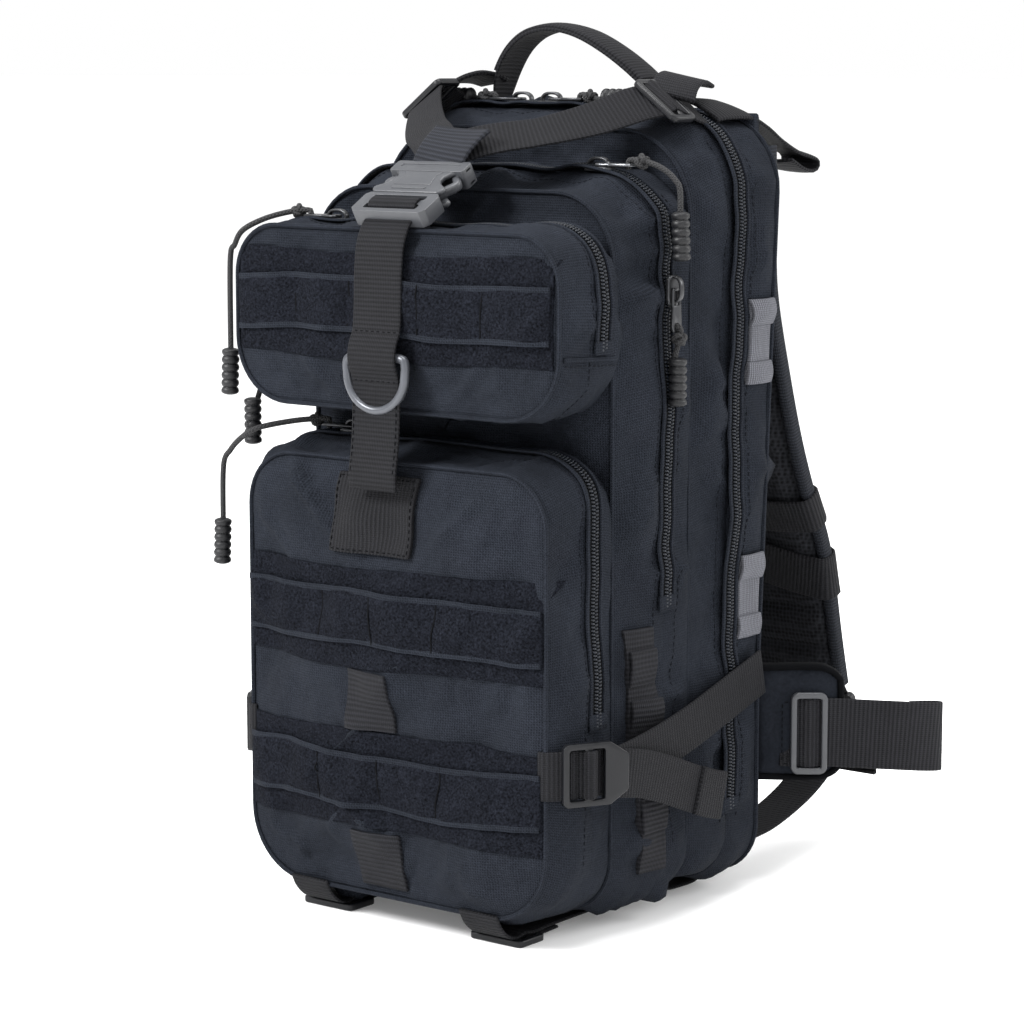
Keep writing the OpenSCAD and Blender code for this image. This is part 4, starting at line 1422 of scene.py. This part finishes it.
PAD_Y = 87.4
pad_shape = [
    (-94, 40), (-88, 33), (-78, 31), (78, 31), (88, 33), (94, 40), (95, 360), (88, 384), (72, 398),
    (-72, 398), (-88, 384), (-95, 360),
]
pad = plate("back_pad_cushion", pad_shape, -3.2, 3.2, AIR_MESH, 2.4)
transform(pad, move(0, PAD_Y, 0) @ turn("X", 90))
inflate(pad, 3.6, 81)
places = vertex_rows(pad)
x, z = places[:, 0] / MM, places[:, 2] / MM
channel = sum(np.exp(-((z - level) / 2.4) ** 2) for level in (104, 180, 256, 330)) + np.exp(-(x / 2.4) ** 2)
behind = places[:, 1] / MM > (SHIFT / MM + PAD_Y)
places[:, 1] -= np.where(behind, np.clip(channel, 0, 1) * 3.4 * MM, 0)
set_vertices(pad, places)
place_on(pad, "pack", ["back_pad"])
rim = smooth_path([(x, 87.0, z) for x, z in pad_shape + pad_shape[:1]], 4)
place_on(sweep("back_pad_binding", rim, [0, 1, 0], bar_section(6.6, 3.0, 0.45), DARK_THREAD), "pack")
top_patch = [(x, 86.6, 404) for x in np.linspace(-96, 96, 24)]
place_on(sweep("harness_yoke_web", top_patch, [0, 0, 1], flat_section(30, 5.0), CANVAS), "pack")

# ---------------------------------------------------------------- zipper sliders and pulls

# The height of a tab's middle over its slider's base.
EYE = 3.7
# Where each slider sits, how it is turned, and how far its pull hangs below it; 0 lies along the chain.
SLIDERS = {
    "main_left": ((-34, 53, 422.2), HALF_TURN, 0),
    "main_right": ((-14, 53, 422.2), np.eye(4), 0),
    "middle_top": ((62, -7, 390.2), np.eye(4), 24),
    "middle_side": ((107.2, -7, 332), turn("Y", 90), 0),
    "upper_top": ((-64, -66, 362.2), HALF_TURN, 12),
    "upper_side": ((-109.2, -66, 318), turn("Y", -90) @ HALF_TURN, 0),
    "lower_top": ((-54.2, -64, 252.2), HALF_TURN, 24),
    "lower_side": ((-102.2, -64, 196), turn("Y", -90) @ HALF_TURN, 0),
}
# How far a pull stands forward of its slider, and how much lower than its CAD stand-in a top pull hangs.
FORWARD = {"upper_top": 22, "upper_side": 16, "lower_top": 24, "lower_side": 20}
LOWER_BY = {"upper_top": 66, "lower_top": 36}
# How much longer a side pull's cord is, and how far along its zipper a top pull's cord reaches.
LONGER = {"upper_side": 15, "lower_side": -5}
REACH = {"upper_top": 57, "lower_top": 74}
BRIDGE = [
    (-6.2, 0, 2.0), (-6.0, 0, 4.6), (-3.6, 0, 6.5), (0, 0, 6.9), (3.6, 0, 6.5), (5.6, 0, 4.8),
    (5.8, 0, 2.0),
]
NOSE = [(7.2, -4.4), (9.4, -2.0), (9.4, 2.0), (7.2, 4.4), (3.0, 5.0), (3.0, -5.0)]
EYE_WIRE = [
    (9, -2.9, EYE), (2, -3.0, EYE), (0, -2.2, EYE), (0, 0, EYE), (0, 2.2, EYE), (2, 3.0, EYE),
    (9, 2.9, EYE),
]
TAB_OUTLINE = [(8, -3.6), (19, -4.1), (21.5, -3.0), (22.3, 0), (21.5, 3.0), (19, 4.1), (8, 3.6)]


def knot(name, centre, direction):
    """A round overhand knot: one strand wound round itself."""
    size = 2.6
    a = np.linspace(0, 2 * math.pi, 56, endpoint=False)
    d = unit(direction)
    e = unit(np.cross(d, [0.3, 1.0, 0.2]))
    f = np.cross(d, e)
    radius = size * (0.75 + 0.32 * np.cos(3 * a))
    points = (np.asarray(centre) + np.outer(radius * np.cos(2 * a), e) + np.outer(radius * np.sin(2 * a), f)
              + np.outer(size * 0.72 * np.sin(3 * a), d))
    return sweep(name, points, d, round_section(1.55, 8), CORD, closed_path=True)


def grip(name, start, direction):
    """A moulded grip with six rings, narrowing at each end."""
    length = 25.0
    d = unit(direction)
    s = np.linspace(0, 1, 97)
    ring = np.abs(np.sin(s * math.pi * 6.0)) ** 0.55
    ends = np.clip(np.minimum(s, 1 - s) / 0.045, 0, 1) ** 0.5
    radius = (3.5 + 1.25 * ring) * (0.55 + 0.45 * ends)
    points = np.asarray(start) + np.outer(s * length, d)
    side = unit(np.cross(d, [0.2, 1, 0.1]))
    return sweep(name, points, side, round_section(1.0, 18), RUBBER, scale=radius)


def slider(key, here):
    body = [
        plate("slider_base", rounded_rect(14.4, 10.6, 3.2), 0.5, 2.7, SLIDER_METAL, 0.7),
        sweep("slider_bridge", smooth_path(BRIDGE, 0.8), [0, 1, 0], bar_section(3.2, 1.5), SLIDER_METAL),
        plate("slider_nose", NOSE, 0.7, 2.3, SLIDER_METAL, 0.5),
    ]
    return transform(join(body, f"slider_{key}_body"), here)


def pull_tab(key, here):
    metal = TAB_METAL if key == "middle_top" else SLIDER_METAL
    tab = [
        sweep("eye_wire", smooth_path(EYE_WIRE, 0.8), [0, 0, 1], round_section(0.85, 8), metal),
        plate("tab_plate", TAB_OUTLINE, EYE - 0.8, EYE + 0.8, metal, 0.5,
              holes=[rounded_rect(3.4, 3.4, 1.6, 5, x=18.6)]),
    ]
    return transform(join(tab, f"pull_{key}_tab"), here)


def pull_route(key, drop):
    """A pull's cord from the tab's hole into its grip, with the knot's and the grip's place and direction."""
    forward = FORWARD.get(key, 0)
    extra = LONGER.get(key, 0)
    if drop == 0:
        route = [
            (18.6, 0, EYE - 2.2), (18.7, 0, EYE + 1.6), (20.6, 0.4, EYE + 2.6), (24.5, 1.2, EYE + 1.6),
            (29, 0.8, EYE + 0.4), (33, -0.6, EYE + 0.2), (37, -0.8, EYE + 0.6), (42, -0.2, EYE + 1.2),
            (47, 0, EYE + 1.2), (52, 0, EYE + 1.2),
        ]
        knot_at, knot_dir = (25.0, 1.1, EYE + 1.4), (1, -0.1, -0.2)
        grip_at, grip_dir = (34.5 + extra, forward * 0.8, EYE + 1.2), (1, 0, 0)
    else:
        down = drop + LOWER_BY.get(key, 6)
        reach = REACH.get(key, 51)
        fall = min(down * 0.6, 34)
        route = [(18.6, 0, EYE - 2.2), (18.7, 0, EYE + 1.6), (20.6, 0.3, EYE + 2.7)]
        route += [(21 + (reach - 21) * math.sin(a), 0.4, EYE + 2.6 - fall * (1 - math.cos(a)))
                  for a in np.radians((14, 30, 46, 62, 78))]
        route += [(reach, 0, EYE - down + 4), (reach, 0, EYE - down - 12)]
        knot_at, knot_dir = (26.5, 0.9, EYE + 2.0), (1, 0, -0.1)
        grip_at, grip_dir = (reach + extra, forward, EYE - down + 7.4), (0.04, 0, -1)
    route = [
        (x + extra * min(max((x - 28) / 14, 0), 1), y + forward * min(max((x - 22) / 24, 0), 1) ** 1.3, z)
        for x, y, z in route
    ]
    return smooth_path(route, 1.2), (knot_at, knot_dir), (grip_at, grip_dir)


for key, (at, rotation, drop) in SLIDERS.items():
    here = move(*at) @ rotation
    place_on(slider(key, here), f"zip_{key}", [f"slider_{key}"])
    place_on(pull_tab(key, here), f"zip_pull_{key}", [f"pull_{key}"])
    line, tie, hold = pull_route(key, drop)
    run = lengths_along(line)[-1]
    line = (here @ np.column_stack([line, np.ones(len(line))]).T).T[:, :3]
    cord = sweep(f"pull_{key}_cord", line, [0.1, 1, 0.2], round_section(1.5, 10), CORD)
    tied = transform(knot(f"pull_{key}_knot", *tie), here)
    held = transform(grip(f"pull_{key}_grip", *hold), here)
    for piece in (cord, tied, held):
        place_on(piece, f"zip_pull_{key}")
    tuple(row(line[0]))
    [tuple(p) for p in row(line)]

# ---------------------------------------------------------------- what the frame shows as it is

for name, look in (("frame_sheet", SHEET), ("hydration_sleeve", LINING), ("inner_pockets", LINING)):
    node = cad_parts[name]
    node.data.materials.clear()
    node.data.materials.append(look)

# ---------------------------------------------------------------- floor and light


def floor_and_light():
    size = 60.0
    mesh = bpy.data.meshes.new("floor")
    corners = [(-size, -size, 0), (size, -size, 0), (size, size, 0), (-size, size, 0)]
    mesh.from_pydata(corners, [], [(0, 1, 2, 3)])
    pale = bpy.data.materials.new("pale_floor")
    pale.use_nodes = True
    inputs = pale.node_tree.nodes["Principled BSDF"].inputs
    inputs["Base Color"].default_value = (0.9, 0.9, 0.9, 1)
    inputs["Roughness"].default_value = 0.8
    inputs["Emission Color"].default_value = (1, 1, 1, 1)
    inputs["Emission Strength"].default_value = 0.12
    mesh.materials.append(pale)
    floor = bpy.data.objects.new("floor", mesh)
    bpy.context.collection.objects.link(floor)
    world = bpy.data.worlds.new("studio")
    bpy.context.scene.world = world
    world.use_nodes = True
    sky = world.node_tree.nodes["Background"].inputs
    sky["Color"].default_value = (1, 1, 1, 1)
    sky["Strength"].default_value = 1.0
    lamps = (
        ("key", (-1.1, -2.1, 1.8), 0.9, 128),
        ("fill", (2.4, -1.2, 1.0), 1.6, 16),
        ("top", (0.3, -0.2, 2.4), 1.4, 60),
        ("rim", (1.8, 1.6, 1.4), 1.2, 36),
    )
    for name, place, width, power in lamps:
        data = bpy.data.lights.new(name, "AREA")
        data.size = width
        data.energy = power
        lamp = bpy.data.objects.new(name, data)
        bpy.context.collection.objects.link(lamp)
        lamp.location = place
        lamp.rotation_euler = (Vector((0, 0, 0.22)) - Vector(place)).to_track_quat("-Z", "Y").to_euler()


floor_and_light()
bpy.context.scene.view_settings.view_transform = "Standard"
